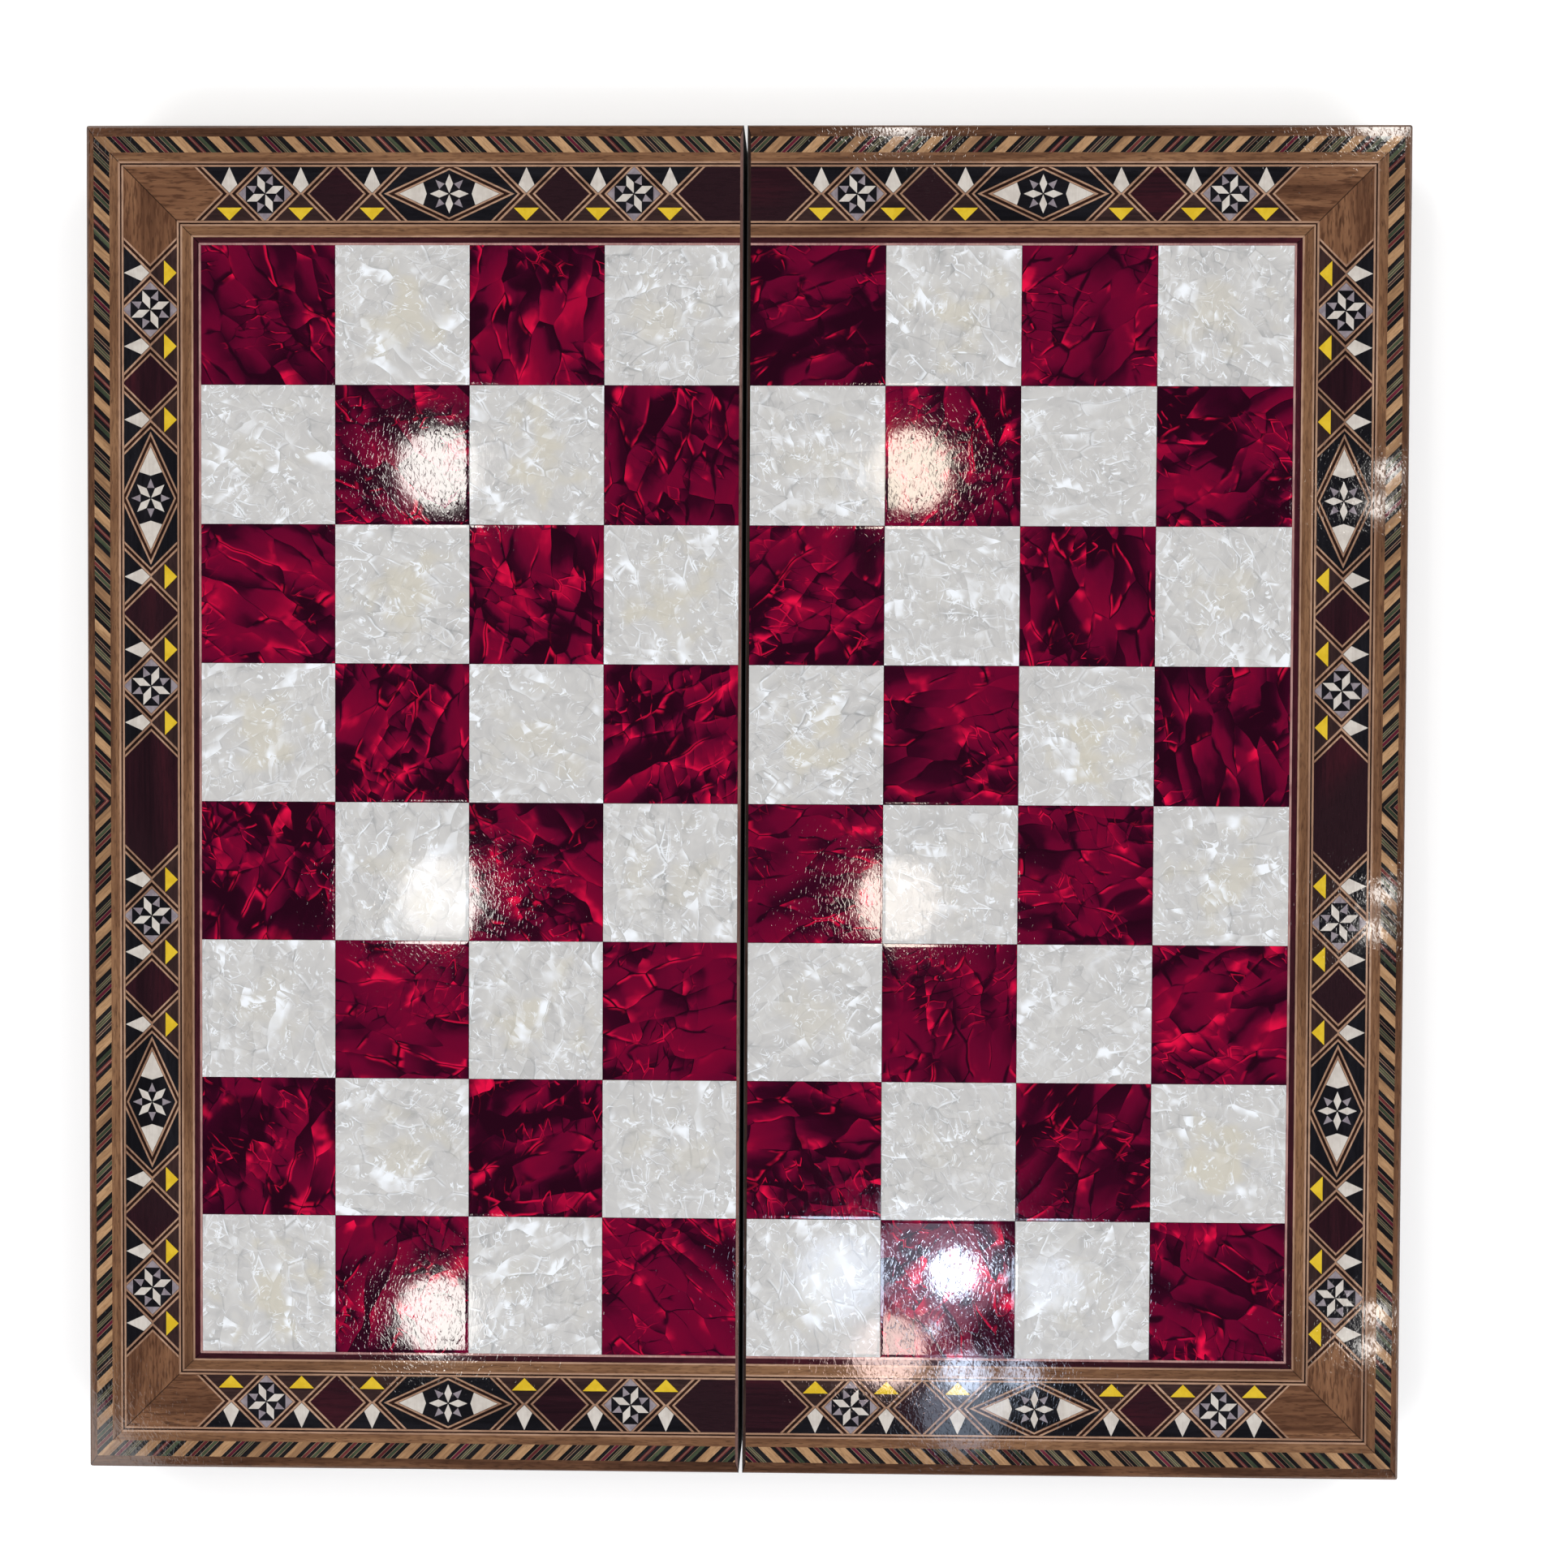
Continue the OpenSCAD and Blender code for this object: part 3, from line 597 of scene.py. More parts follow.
    def _square(self) -> bpy.types.NodeTree:
        """Finds the square that a point is in, and turns each square's pattern its own way.

        Returns:
            The group.
        """
        effect = Effect("board_square", {"Vector": "Vector"},
                        {"Local": "Vector", "Edge": "Float", "Centre": "Float", "Chance": "Color"})
        g = effect.graph
        x, y, _ = g.split(effect.inputs["Vector"])
        across = g.divided(g.minus(g.size(x), BOX.squares_x), BOX.square_w)
        down = g.divided(g.plus(y, BOX.squares_y), BOX.square_l)
        column, row = g.floor(across), g.floor(down)
        seed = g.join(g.times_plus(g.sign(x), PATTERN.half_seed, column), row, PATTERN.board_seed)
        chance = g.node("ShaderNodeTexWhiteNoise", {"Vector": seed}).outputs
        here_x = g.times(g.minus(g.minus(across, column), 0.5), BOX.square_w)
        here_y = g.times(g.minus(g.minus(down, row), 0.5), BOX.square_l)
        here = g.join(here_x, here_y, 0.0)
        turned = g.turned(here, g.times(chance[0], math.tau))
        away = g.resized(chance[1], PATTERN.square_spread)
        edge = g.least(g.minus(BOX.square_w / 2, g.size(here_x)),
                       g.minus(BOX.square_l / 2, g.size(here_y)))
        return effect.put_out(Local=g.vector("ADD", turned, away), Edge=edge,
                              Centre=g.vector("LENGTH", here), Chance=chance[1])

    def _facets(self) -> bpy.types.NodeTree:
        """Draws the painted light and shade of a crumpled sheet's long facets, creases and folds.

        Returns:
            The group.
        """
        effect = Effect("crumple_facets",
                        {"Vector": "Vector", "Scale": "Float", "Stretch": "Float"},
                        {"Lean": "Float", "Level": "Float", "Crease": "Float", "Fold": "Float"})
        g = effect.graph
        vector, scale, stretch = (effect.inputs[name] for name in ("Vector", "Scale", "Stretch"))
        stir = g.noise(vector, g.times(scale, CRUMPLE.stir_cells), 2.0, flat=True, colour=True)
        shift = g.resized(g.vector("SUBTRACT", stir, (0.5, 0.5, 0.5)),
                          g.divided(CRUMPLE.stir_reach, scale))
        x, y, _ = g.split(g.vector("ADD", vector, shift))
        moved = g.join(g.times(x, stretch), g.divided(y, stretch), 0.0)
        sheet = {"Vector": moved, "Scale": scale}
        cells = g.node("ShaderNodeTexVoronoi", sheet, voronoi_dimensions="2D").outputs
        turn, lit, level = g.split(cells["Color"])
        angle = g.times(turn, math.tau)
        way = g.join(g.math("COSINE", angle), g.math("SINE", angle), 0.0)
        # painted shading: each facet grows lighter or darker along a random way, as if tilted to
        # the light
        slope = g.vector("DOT_PRODUCT", g.vector("SUBTRACT", moved, cells["Position"]), way)
        edge = g.node("ShaderNodeTexVoronoi", sheet, voronoi_dimensions="2D",
                      feature="DISTANCE_TO_EDGE").outputs["Distance"]
        wide = g.noise(vector, g.times(scale, CRUMPLE.width_cells), 1.0, flat=True)
        width = g.span(wide, *CRUMPLE.width_range, CRUMPLE.crease_widths)
        # painted shade in the creases: a dark line along some facet edges
        crease_shadow = g.span(edge, 0.0, width, FADE)
        # painted highlight: a bright band beside the crease, on some facets
        beside = g.times(g.span(edge, *CRUMPLE.fold_inside),
                         g.span(edge, *CRUMPLE.fold_outside, FADE))
        return effect.put_out(Lean=g.times(slope, scale), Level=g.minus(level, 0.5), Crease=crease_shadow,
                              Fold=g.times(beside, g.span(lit, *CRUMPLE.fold_range)))

    def _film(self) -> bpy.types.NodeTree:
        """Draws a crumpled film's painted facet shading, crease shade and glints, and its dark
        pools.

        Returns:
            The group.
        """
        effect = Effect("crumpled_film",
                        {"Vector": "Vector", "Scale": "Float", "Crumple": "Float",
                         "Stretch": "Float"},
                        {"Tone": "Float", "Crease": "Float", "Fold": "Float", "Glint": "Float",
                         "Pool": "Float"})
        g = effect.graph
        vector, scale, stretch = (effect.inputs[name] for name in ("Vector", "Scale", "Stretch"))
        coarse = g.group(self.facets, Vector=vector, Scale=scale, Stretch=stretch)
        fine = g.group(self.facets, Vector=g.turned(vector, CRUMPLE.fine_turn),
                       Scale=g.times(scale, CRUMPLE.fine_cells), Stretch=stretch)
        slowly = g.noise(vector, g.times(scale, CRUMPLE.slow_cells), 1.0, flat=True, colour=True)
        _, slow, deep = g.split(slowly)
        busy = g.span(g.plus(slow, effect.inputs["Crumple"]), *CRUMPLE.busy_range)
        torn = g.noise(vector, g.times(scale, CRUMPLE.torn_cells), 1.0, flat=True)
        open_coarse = g.span(torn, *CRUMPLE.torn_coarse)
        open_fine = g.times(busy, g.span(torn, *CRUMPLE.torn_fine, CRUMPLE.torn_rest))
        satin = g.noise(g.scaled(vector, 1.0, CRUMPLE.satin_squeeze, 1.0),
                        g.times(scale, CRUMPLE.satin_cells), 2.0, flat=True)
        # Tone is painted shading of the coarse and fine facets
        tone = g.times_plus(coarse["Lean"], CRUMPLE.lean_share,
                            g.times(coarse["Level"], CRUMPLE.level_share))
        tone = g.times_plus(g.minus(satin, 0.5), CRUMPLE.satin_share, tone)
        fine_shading = g.plus(fine["Lean"], g.times(fine["Level"], CRUMPLE.fine_level_share))
        tone = g.times_plus(g.times(fine_shading, busy), CRUMPLE.fine_share, tone)
        # painted shade in the creases and painted highlights beside the folds, torn into open lines
        fine_crease_shadow = g.times(fine["Crease"], g.times(open_fine, CRUMPLE.fine_crease_share))
        crease_shadow = g.most(g.times(coarse["Crease"], open_coarse), fine_crease_shadow)
        fold_highlight = g.most(g.times(coarse["Fold"], open_coarse), g.times(fine["Fold"], open_fine))
        pool = g.span(g.times_plus(coarse["Level"], CRUMPLE.pool_share, deep), *CRUMPLE.pool_range)
        # painted glints on parts of the fold highlights
        glint = g.times(fold_highlight, g.span(satin, *CRUMPLE.glint_range))
        return effect.put_out(Tone=tone, Crease=crease_shadow, Fold=fold_highlight, Glint=glint, Pool=pool)


class MaterialGraph(Graph):
    """The nodes of one material, with its shader and the shared effects."""

    def __init__(self, material: bpy.types.Material, effects: Effects) -> None:
        """Starts on a material.

        Args:
            material: the material, which has a new node tree.
            effects: the shared effects.
        """
        super().__init__(material.node_tree)
        self.shader = material.node_tree.nodes["Principled BSDF"].inputs
        self.effects = effects

    def place(self) -> Socket:
        """Returns the point's place on the object."""
        return self.node("ShaderNodeTexCoord").outputs["Object"]

    def shade(self, name: str, value: Any) -> None:
        """Feeds one of the shader's sockets."""
        self.feed(self.shader[name], value)

    def varnish(self, place: Socket, edge: Any = 1.0, raw: Socket | None = None) -> None:
        """Lays the gloss varnish over the finish.

        Args:
            place: the point's place on the object.
            edge: 0 at a sunk joint, 1 away from it.
            raw: 1 on faces that were left without varnish, 0 away from them.
        """
        coat = self.group(self.effects.varnish, Vector=place, Edge=edge)
        rough = coat["Roughness"]
        if raw:
            rough = self.most(rough, self.times(raw, PATTERN.raw_roughness))
        self.shade("Normal", coat["Normal"])
        self.shade("Roughness", rough)

    def along_grain(self, place: Socket, grain: Grain) -> tuple[Socket, Socket | None]:
        """Turns a place so that its X runs along the grain.

        Args:
            place: the point's place on the object.
            grain: how the grain lies.

        Returns:
            The turned vector, and the distance from the mitre where the grain has one.
        """
        if grain in (Grain.MITRED, Grain.SLANTED):
            border = self.group(self.effects.border, Vector=place)
            return border["Along" if grain is Grain.MITRED else "Slant"], border["Mitre"]
        x, y, z = self.split(place)
        if grain is Grain.ACROSS_SEAM:
            return self.join(x, y, self.times_plus(self.sign(x), PATTERN.half_shift, z)), None
        return self.join(y, x, z), None


class Finish:
    """A finish, which makes one material."""

    name: str

    def paint(self, g: MaterialGraph) -> None:
        """Adds the finish's nodes to its material."""
        raise NotImplementedError

    def material(self, effects: Effects) -> bpy.types.Material:
        """Builds the finish's material.

        Args:
            effects: the shared effects.

        Returns:
            The new material.
        """
        made = bpy.data.materials.new(self.name)
        made.use_nodes = True
        self.paint(MaterialGraph(made, effects))
        return made


@dataclass(frozen=True)
class Wood(Finish):
    """A wood, varnished or satin."""

    name: str
    light: Colour
    middle: Colour
    dark: Colour
    grain: Grain
    fineness: float = 1.0
    pores: float = 0.5
    dashes: float = 0.5
    fibre: float = 0.3
    rail: bool = False
    mitre_line: float = 0.0
    tint: Colour | None = None
    tint_cells: float = 14
    tint_range: Range = (0.42, 0.58)
    satin: float = 0.0
    satin_spread: float = 0.06
    satin_depth: float = 0.02 * MM
    deepest: float = 0.55
    joint_line: float = 0.85
    # how far the outer arris band is lightened, for wear and a painted edge highlight
    arris_wear_and_highlight: float = 0.5
    seam_shade: Colour = (9, 6, 6)
    figure_share: float = 0.7
    figure_least: float = 0.15

    def paint(self, g: MaterialGraph) -> None:
        """Adds grain, joints and varnish.

        Args:
            g: the material's nodes.
        """
        place = g.place()
        along, mitre = g.along_grain(place, self.grain)
        wood = g.group(g.effects.wood, Vector=along, Fineness=self.fineness)
        figure = g.times_plus(wood["Figure"], self.figure_share, self.figure_least)
        tone = g.times_plus(g.minus(wood["Fibre"], 0.5), self.fibre, figure)
        colour = g.ramp(tone, ((0.0, self.dark), (0.5, self.middle), (1.0, self.light)))
        if self.tint:
            patches = g.span(g.noise(along, self.tint_cells, 0.0), *self.tint_range)
            colour = g.mix(patches, colour, self.tint)
        deep = tuple(self.deepest * part for part in self.dark)
        colour = g.mix(g.times(wood["Dashes"], self.dashes), colour, self.dark)
        colour = g.mix(g.times(wood["Pores"], self.pores), colour, deep)
        raw = None
        if self.rail:
            joints = g.group(g.effects.rail, Vector=place)
            raw = joints["Seam"]
            colour = g.mix(g.times(joints["Joint"], self.joint_line), colour, deep)
            # The outer arris band is lightened with the grain: handling wear and a painted edge
            # highlight.
            wear_and_highlight = g.times(joints["Arris"], wood["Fibre"])
            colour = g.mix(g.times(wear_and_highlight, self.arris_wear_and_highlight), colour, self.light)
            # painted shade: the faces inside the seam are painted near black, as the narrow gap
            # lies in shade
            colour = g.mix(raw, colour, self.seam_shade)
        if self.mitre_line and mitre:
            line = g.span(mitre, *PATTERN.mitre_line, (self.mitre_line, 0.0))
            colour = g.mix(line, colour, deep)
        g.shade("Base Color", colour)
        if self.satin:
            height = g.minus(wood["Fibre"], wood["Pores"])
            g.shade("Normal", g.bump(height, self.satin_depth))
            spread = (self.satin - self.satin_spread, self.satin + self.satin_spread)
            g.shade("Roughness", g.span(wood["Fibre"], 0.0, 1.0, spread))
        else:
            g.varnish(place, raw=raw)


@dataclass(frozen=True)
class Plate(Finish):
    """A small let-in plate of bone, shell or coloured plastic, clouded and faintly streaked."""

    name: str
    base: Colour
    cloud: Colour
    streak: Colour
    cloud_scale: float = 260.0
    streaks: float = 0.25
    streak_cells: Cells = (1500, 120, 120)
    cloud_range: Range = (0.38, 0.66)
    streak_range: Range = (0.45, 0.7)

    def paint(self, g: MaterialGraph) -> None:
        """Adds clouds, fine streaks and varnish.

        Args:
            g: the material's nodes.
        """
        place = g.place()
        clouds = g.noise(place, self.cloud_scale, 2.0)
        colour = g.mix(g.span(clouds, *self.cloud_range), self.base, self.cloud)
        lines = g.noise(g.scaled(place, *self.streak_cells), 1.0, 2.0)
        amount = g.span(lines, *self.streak_range, (0.0, self.streaks))
        g.shade("Base Color", g.mix(amount, colour, self.streak))
        g.varnish(place)


@dataclass(frozen=True)
class Film(Finish):
    """Crumpled film under varnish, in squares that each have their own folds."""

    scale: float
    crumple: float
    stretch: float
    tones: tuple[tuple[float, Colour], ...]
    light: Colour

    def colour(self, g: Graph, square: Outputs, film: Outputs) -> Socket:
        """Colours the film.

        Args:
            g: the material's nodes.
            square: the square that a point is in.
            film: the film's folds.

        Returns:
            The colour.
        """
        raise NotImplementedError

    def paint(self, g: MaterialGraph) -> None:
        """Adds the film's folds and the varnish, which sinks a little at the edges of the square.

        Args:
            g: the material's nodes.
        """
        place = g.place()
        square = g.group(g.effects.square, Vector=place)
        film = g.group(g.effects.film, Vector=square["Local"], Scale=self.scale,
                       Crumple=self.crumple, Stretch=self.stretch)
        g.shade("Base Color", self.colour(g, square, film))
        g.varnish(place, g.span(square["Edge"], *PATTERN.square_edge))


@dataclass(frozen=True)
class RedFilm(Film):
    """Crimson film."""

    name: str = "red_pearl"
    scale: float = 78.0
    crumple: float = 0.02
    stretch: float = 1.55
    tones: tuple[tuple[float, Colour], ...] = (
        (0.0, (38, 1, 21)), (0.24, (54, 1, 28)), (0.42, (100, 2, 42)), (0.74, (122, 2, 45)),
        (1.0, (168, 5, 54)))
    # light is the colour of the painted highlights on the folds
    light: Colour = (236, 16, 70)
    crease_shade: float = -0.4
    glint: float = 0.7
    spark_cells: float = 1.1
    spark_range: Range = (0.5, 0.68)
    hot_range: Range = (0.28, 0.95)

    def colour(self, g: Graph, square: Outputs, film: Outputs) -> Socket:
        """Adds painted shading, crease shade, dark pools and fold highlights, which differ by
        square.

        Args:
            g: the material's nodes.
            square: the square that a point is in.
            film: the film's folds.

        Returns:
            The colour.
        """
        one, two, three = g.split(square["Chance"])
        # painted shading of the facets and painted shade in the creases, with dark pools
        bright = g.times(film["Tone"], g.times_plus(one, 0.5, 0.24))
        tone = g.plus(bright, g.times_plus(three, 0.2, 0.36))
        tone = g.minus(tone, g.times(film["Pool"], g.times_plus(two, 0.4, 0.1)))
        tone = g.times_plus(film["Crease"], self.crease_shade, tone)
        # painted highlights: soft hot spots on facets that lean to the light, and glints beside the
        # folds
        spark = g.noise(square["Local"], self.scale * self.spark_cells, 2.0, flat=True)
        hot_highlight = g.times(g.span(spark, *self.spark_range), g.span(film["Tone"], *self.hot_range))
        lit = g.most(g.times(film["Glint"], self.glint), hot_highlight)
        return g.mix(lit, g.ramp(tone, self.tones), self.light)


@dataclass(frozen=True)
class WhiteFilm(Film):
    """White film, with a cream patch in the middle of each square."""

    name: str = "white_pearl"
    scale: float = 104.0
    crumple: float = 0.06
    stretch: float = 1.6
    tones: tuple[tuple[float, Colour], ...] = (
        (0.0, (162, 163, 164)), (0.4, (199, 198, 197)), (0.62, (209, 208, 206)),
        (1.0, (236, 238, 242)))
    # light is the colour of the painted highlights
    light: Colour = (246, 250, 255)
    cream: Colour = (212, 205, 184)
    cream_reach: float = 17 * MM
    cream_stir: float = 60 * MM
    gloss: float = 0.2
    swirl_cells: float = 1.3
    swirl_stir: float = 1.6
    swirl_share: float = 0.45
    patch_cells: float = 0.7
    fleck_cells: float = 2.4
    line_range: Range = (0.42, 0.58)
    line_light: Range = (0.1, 0.8)
    fleck_range: Range = (0.44, 0.52)
    sheen_range: Range = (0.12, 0.62)
    patch_range: Range = (0.46, 0.6)
    wisp_width: float = 0.035
    wisp_range: Range = (0.46, 0.58)
    light_range: Range = (0.4, 0.58)
    light_share: Range = (0.4, 1.0)

    def colour(self, g: Graph, square: Outputs, film: Outputs) -> Socket:
        """Adds painted shading of soft folds, painted ridge highlights, cool glints and cream
        patches.

        Args:
            g: the material's nodes.
            square: the square that a point is in.
            film: the film's folds.

        Returns:
            The colour.
        """
        local = square["Local"]
        one, two, three = g.split(square["Chance"])
        swirl = g.noise(local, self.scale * self.swirl_cells, 3.0, flat=True,
                        distortion=self.swirl_stir)
        patches = g.noise(local, self.scale * self.patch_cells, 2.0, flat=True, colour=True)
        where, cloud, patch = g.split(patches)
        flecks = g.noise(local, self.scale * self.fleck_cells, 1.0, flat=True)
        # painted shading of the facets and painted shade along the creases
        bright = g.times(film["Tone"], g.times_plus(one, 0.14, 0.14))
        tone = g.plus(bright, g.times_plus(g.minus(swirl, 0.5), self.swirl_share, 0.5))
        tone = g.times_plus(film["Crease"], g.times_plus(three, -0.2, -0.14), tone)
        from_middle = g.times_plus(g.minus(cloud, 0.5), self.cream_stir, square["Centre"])
        reach = g.times(g.span(from_middle, 0.0, self.cream_reach, FADE), g.times(two, 0.6))
        colour = g.mix(reach, g.ramp(tone, self.tones), self.cream)
        # painted highlights: bright lines beside the folds, glints, sheen on facets leaning to the
        # light and thin wisps
        lines = g.times(film["Fold"], g.span(cloud, *self.line_range, self.line_light))
        glint = g.times(film["Glint"], g.span(flecks, *self.fleck_range))
        sheen = g.times(g.span(film["Tone"], *self.sheen_range), g.span(patch, *self.patch_range))
        ridge = g.size(g.minus(swirl, 0.5))
        wisp_highlight = g.times(g.span(ridge, 0.0, self.wisp_width, FADE),
                       g.span(flecks, *self.wisp_range))
        light = g.most(g.most(lines, glint), g.most(sheen, wisp_highlight))
        share = g.span(where, *self.light_range, self.light_share)
        return g.mix(g.times(light, share), colour, self.light)

    def paint(self, g: MaterialGraph) -> None:
        """Adds the film and the varnish, and takes some of the mirrored light off the white.

        Args:
            g: the material's nodes.
        """
        super().paint(g)
        g.shade("Specular IOR Level", self.gloss)


@dataclass(frozen=True)
class Metal(Finish):
    """A plated or solid metal with fine scratches and tarnish."""

    name: str
    bright: Colour
    dull: Colour
    roughness: float = 0.24
    tarnish_cells: float = 170
    tarnish_range: Range = (0.42, 0.68)
    tarnish_matt: float = 0.16
    scratch_matt: float = 0.08
    scratch_cells: Cells = (300, 6500, 900)
    scratch_depth: float = 0.006 * MM

    def paint(self, g: MaterialGraph) -> None:
        """Adds tarnish, scratches and a fine bump.

        Args:
            g: the material's nodes.
        """
        place = g.place()
        tarnish = g.span(g.noise(place, self.tarnish_cells, 3.0), *self.tarnish_range)
        scratches = g.noise(g.scaled(place, *self.scratch_cells), 1.0, 2.0)
        g.shade("Base Color", g.mix(tarnish, self.bright, self.dull))
        g.shade("Metallic", 1.0)
        rough = g.times_plus(tarnish, self.tarnish_matt, self.roughness)
        g.shade("Roughness", g.times_plus(scratches, self.scratch_matt, rough))
        g.shade("Normal", g.bump(scratches, self.scratch_depth))


@dataclass(frozen=True)
class GlueBed(Finish):
    """The board under the inlay, which shows as dark glue in the joints."""

    name: str = "glue_bed"
    dark: Colour = (24, 14, 12)
    light: Colour = (44, 28, 22)
    fineness: float = 0.8
    roughness: float = 0.5

    def paint(self, g: MaterialGraph) -> None:
        """Adds dark stained ply with a little grain.

        Args:
            g: the material's nodes.
        """
        along, _ = g.along_grain(g.place(), Grain.ALONG_SEAM)
        wood = g.group(g.effects.wood, Vector=along, Fineness=self.fineness)
        g.shade("Base Color", g.mix(wood["Fibre"], self.dark, self.light))
        g.shade("Roughness", self.roughness)


@dataclass(frozen=True)
class Studio(Finish):
    """The pale floor and the wall behind it, which look white and keep the box's shadow."""

    name: str = "studio_white"
    lift: float = 0.61
    wall_lift: float = 1.0
    wall_rise: Range = (0.0, 0.4)
    wall_reach: Range = (0.7, 1.9)
    reflectance: float = 0.68
    clouds: float = 0.02
    roughness: float = 0.9
    contact_shadow: float = 0.05

    def paint(self, g: MaterialGraph) -> None:
        """Adds a white that the camera, mirrors and glass see on top of the plain diffuse floor.

        Args:
            g: the material's nodes.
        """
        place = g.place()
        grey = g.times_plus(g.noise(place, 3.0, 1.0), self.clouds, self.reflectance)
        g.shade("Roughness", self.roughness)
        g.shade("Specular IOR Level", 0.0)
        path = g.node("ShaderNodeLightPath").outputs
        mirrored = g.most(path["Is Glossy Ray"], path["Is Transmission Ray"])
        seen = g.most(path["Is Camera Ray"], mirrored)
        lifts = (self.lift, self.wall_lift)
        lift = g.most(g.span(g.split(place)[2], *self.wall_rise, lifts),
                      g.span(g.vector("LENGTH", place), *self.wall_reach, lifts))
        # painted shadow: the white is dimmed by ambient occlusion near the box and in the seam gap
        contact_shadow = g.node("ShaderNodeAmbientOcclusion", {"Distance": self.contact_shadow},
                      samples=8).outputs["AO"]
        g.shade("Base Color", g.join(grey, grey, grey))
        g.shade("Emission Color", (1.0, 1.0, 1.0, 1.0))
        g.shade("Emission Strength", g.times(g.times(seen, lift), contact_shadow))


WALNUT = dict(light=(120, 85, 62), middle=(94, 64, 47), dark=(61, 39, 29))
INLAY_WALNUT = dict(light=(150, 112, 82), middle=(122, 87, 63), dark=(84, 56, 41))
TRAY = dict(grain=Grain.ALONG_SEAM, satin=0.34)

FINISHES: dict[str, Finish] = {
    "base_panel": GlueBed(),
    "outer_rail": Wood("walnut_along", **WALNUT, grain=Grain.ALONG_SEAM, rail=True),
    "head_rail": Wood("walnut_across", **WALNUT, grain=Grain.ACROSS_SEAM, rail=True),
    # The spine rails are one walnut in two copies: the left painted paler as painted light, the
    # right painted darker as painted shade.
    "left_spine_rail": Wood("walnut_lit_copy", (144, 112, 104), (117, 89, 83), (86, 63, 58),
                            Grain.ALONG_SEAM, rail=True),
    "right_spine_rail": Wood("walnut_shaded_copy", (70, 51, 45), (51, 38, 34), (34, 24, 22),
                             Grain.ALONG_SEAM, rail=True),
    "walnut_fillets": Wood("walnut_strip", **INLAY_WALNUT, grain=Grain.MITRED, mitre_line=0.8),
    "walnut_corners": Wood("walnut_corner", (144, 104, 76), (116, 80, 58), (75, 48, 35),
                           Grain.MITRED, fineness=0.8, dashes=0.75, mitre_line=0.9),
    "pale_banding": Wood("tan_slat", (196, 157, 118), (172, 134, 98), (122, 90, 66),
                         Grain.SLANTED, fineness=1.3, pores=0.3, dashes=0.45),
    "pale_stringing": Wood("pale_string", (192, 156, 132), (170, 134, 110), (130, 98, 80),
                           Grain.MITRED, pores=0.1, dashes=0.45),
    "dark_stringing": Wood("dark_string", (58, 35, 28), (44, 26, 21), (28, 16, 14), Grain.MITRED,
                           pores=0.1),
    "ebony_grounds": Wood("ebony", (31, 30, 35), (23, 22, 27), (14, 13, 17), Grain.MITRED,
                          pores=0.1),
    "brown_grounds": Wood("brown_ground", (64, 45, 43), (53, 37, 36), (38, 27, 27), Grain.MITRED,
                          pores=0.15),
    "rosewood_panels": Wood("rosewood", (62, 24, 33), (45, 20, 28), (28, 13, 20), Grain.MITRED,
                            pores=0.1, dashes=0.3, tint=(41, 23, 29)),
    "maroon_border": Wood("maroon_strip", (72, 28, 38), (56, 22, 30), (36, 14, 21), Grain.MITRED,
                          pores=0.1, mitre_line=0.8),
    "bone_kites": Plate("bone", (214, 207, 199), (202, 194, 186), (180, 170, 158)),
    "grey_stars": Plate("shell_grey", (148, 139, 145), (130, 120, 128), (166, 158, 162),
                        cloud_scale=420),
    "yellow_triangles": Plate("yellow_plate", (226, 192, 54), (216, 180, 42), (200, 164, 36),
                              streaks=0.1),
    "pink_line": Plate("pink_line", (180, 138, 132), (154, 110, 110), (214, 184, 176),
                       cloud_scale=140),
    "red_squares": RedFilm(),
    "pearl_squares": WhiteFilm(),
    "floor_veneer": Wood("tray_veneer", (158, 118, 84), (132, 94, 64), (96, 64, 42), fineness=0.6,
                         **TRAY),
    "pale_points": Wood("maple_point", (222, 192, 150), (204, 170, 126), (178, 140, 98),
                        fineness=0.8, pores=0.2, dashes=0.3, **TRAY),
    "dark_points": Wood("stained_point", (84, 50, 40), (60, 34, 28), (38, 20, 17), fineness=0.8,
                        **TRAY),
    "catch_magnets": Metal("nickel", (178, 180, 184), (138, 138, 140), 0.2),
    "brass": Metal("brass", (214, 172, 88), (150, 112, 52)),
    "studio": Studio(),
}
SLAT_WOODS = {
    "black": ((38, 36, 38), (27, 26, 28), (16, 15, 17)),
    "red": ((124, 62, 60), (102, 46, 48), (72, 30, 34)),
    "wine": ((116, 44, 62), (94, 30, 48), (62, 18, 34)),
    "green": ((82, 90, 68), (66, 74, 56), (42, 50, 40)),
    "umber": ((84, 60, 58), (62, 42, 42), (42, 28, 30)),
    "light": ((166, 142, 118), (146, 122, 100), (114, 92, 76)),
}
for wood_name, wood_tones in SLAT_WOODS.items():
    FINISHES[f"{wood_name}_slat"] = Wood(f"{wood_name}_slat", *wood_tones, Grain.SLANTED,
                                         pores=0.1 if wood_name == "light" else 0.2)
SAME_FINISH = {"foot_rail": "head_rail", "star_grounds": "ebony_grounds",
               "bone_stars": "bone_kites", "hinge_leaves": "brass", "hinge_screws": "brass",
               "hinge_pins": "brass", "dark_banding": "black_slat"}


class Workshop:
    """Makes each material once and hands it out by name."""

    def __init__(self) -> None:
        """Builds the shared effects."""
        self.effects = Effects()
        self.made: dict[str, bpy.types.Material] = {}

    def finish(self, name: str) -> bpy.types.Material:
        """Finds the material of a finish, and builds it the first time.

        Args:
            name: the finish's name, or that of a node that shares one.

        Returns:
            The material.
        """
        key = SAME_FINISH.get(name, name)
        if key not in self.made:
            self.made[key] = FINISHES[key].material(self.effects)
        return self.made[key]


def deselect() -> None:
    """Deselects every object."""
    bpy.ops.object.select_all(action="DESELECT")


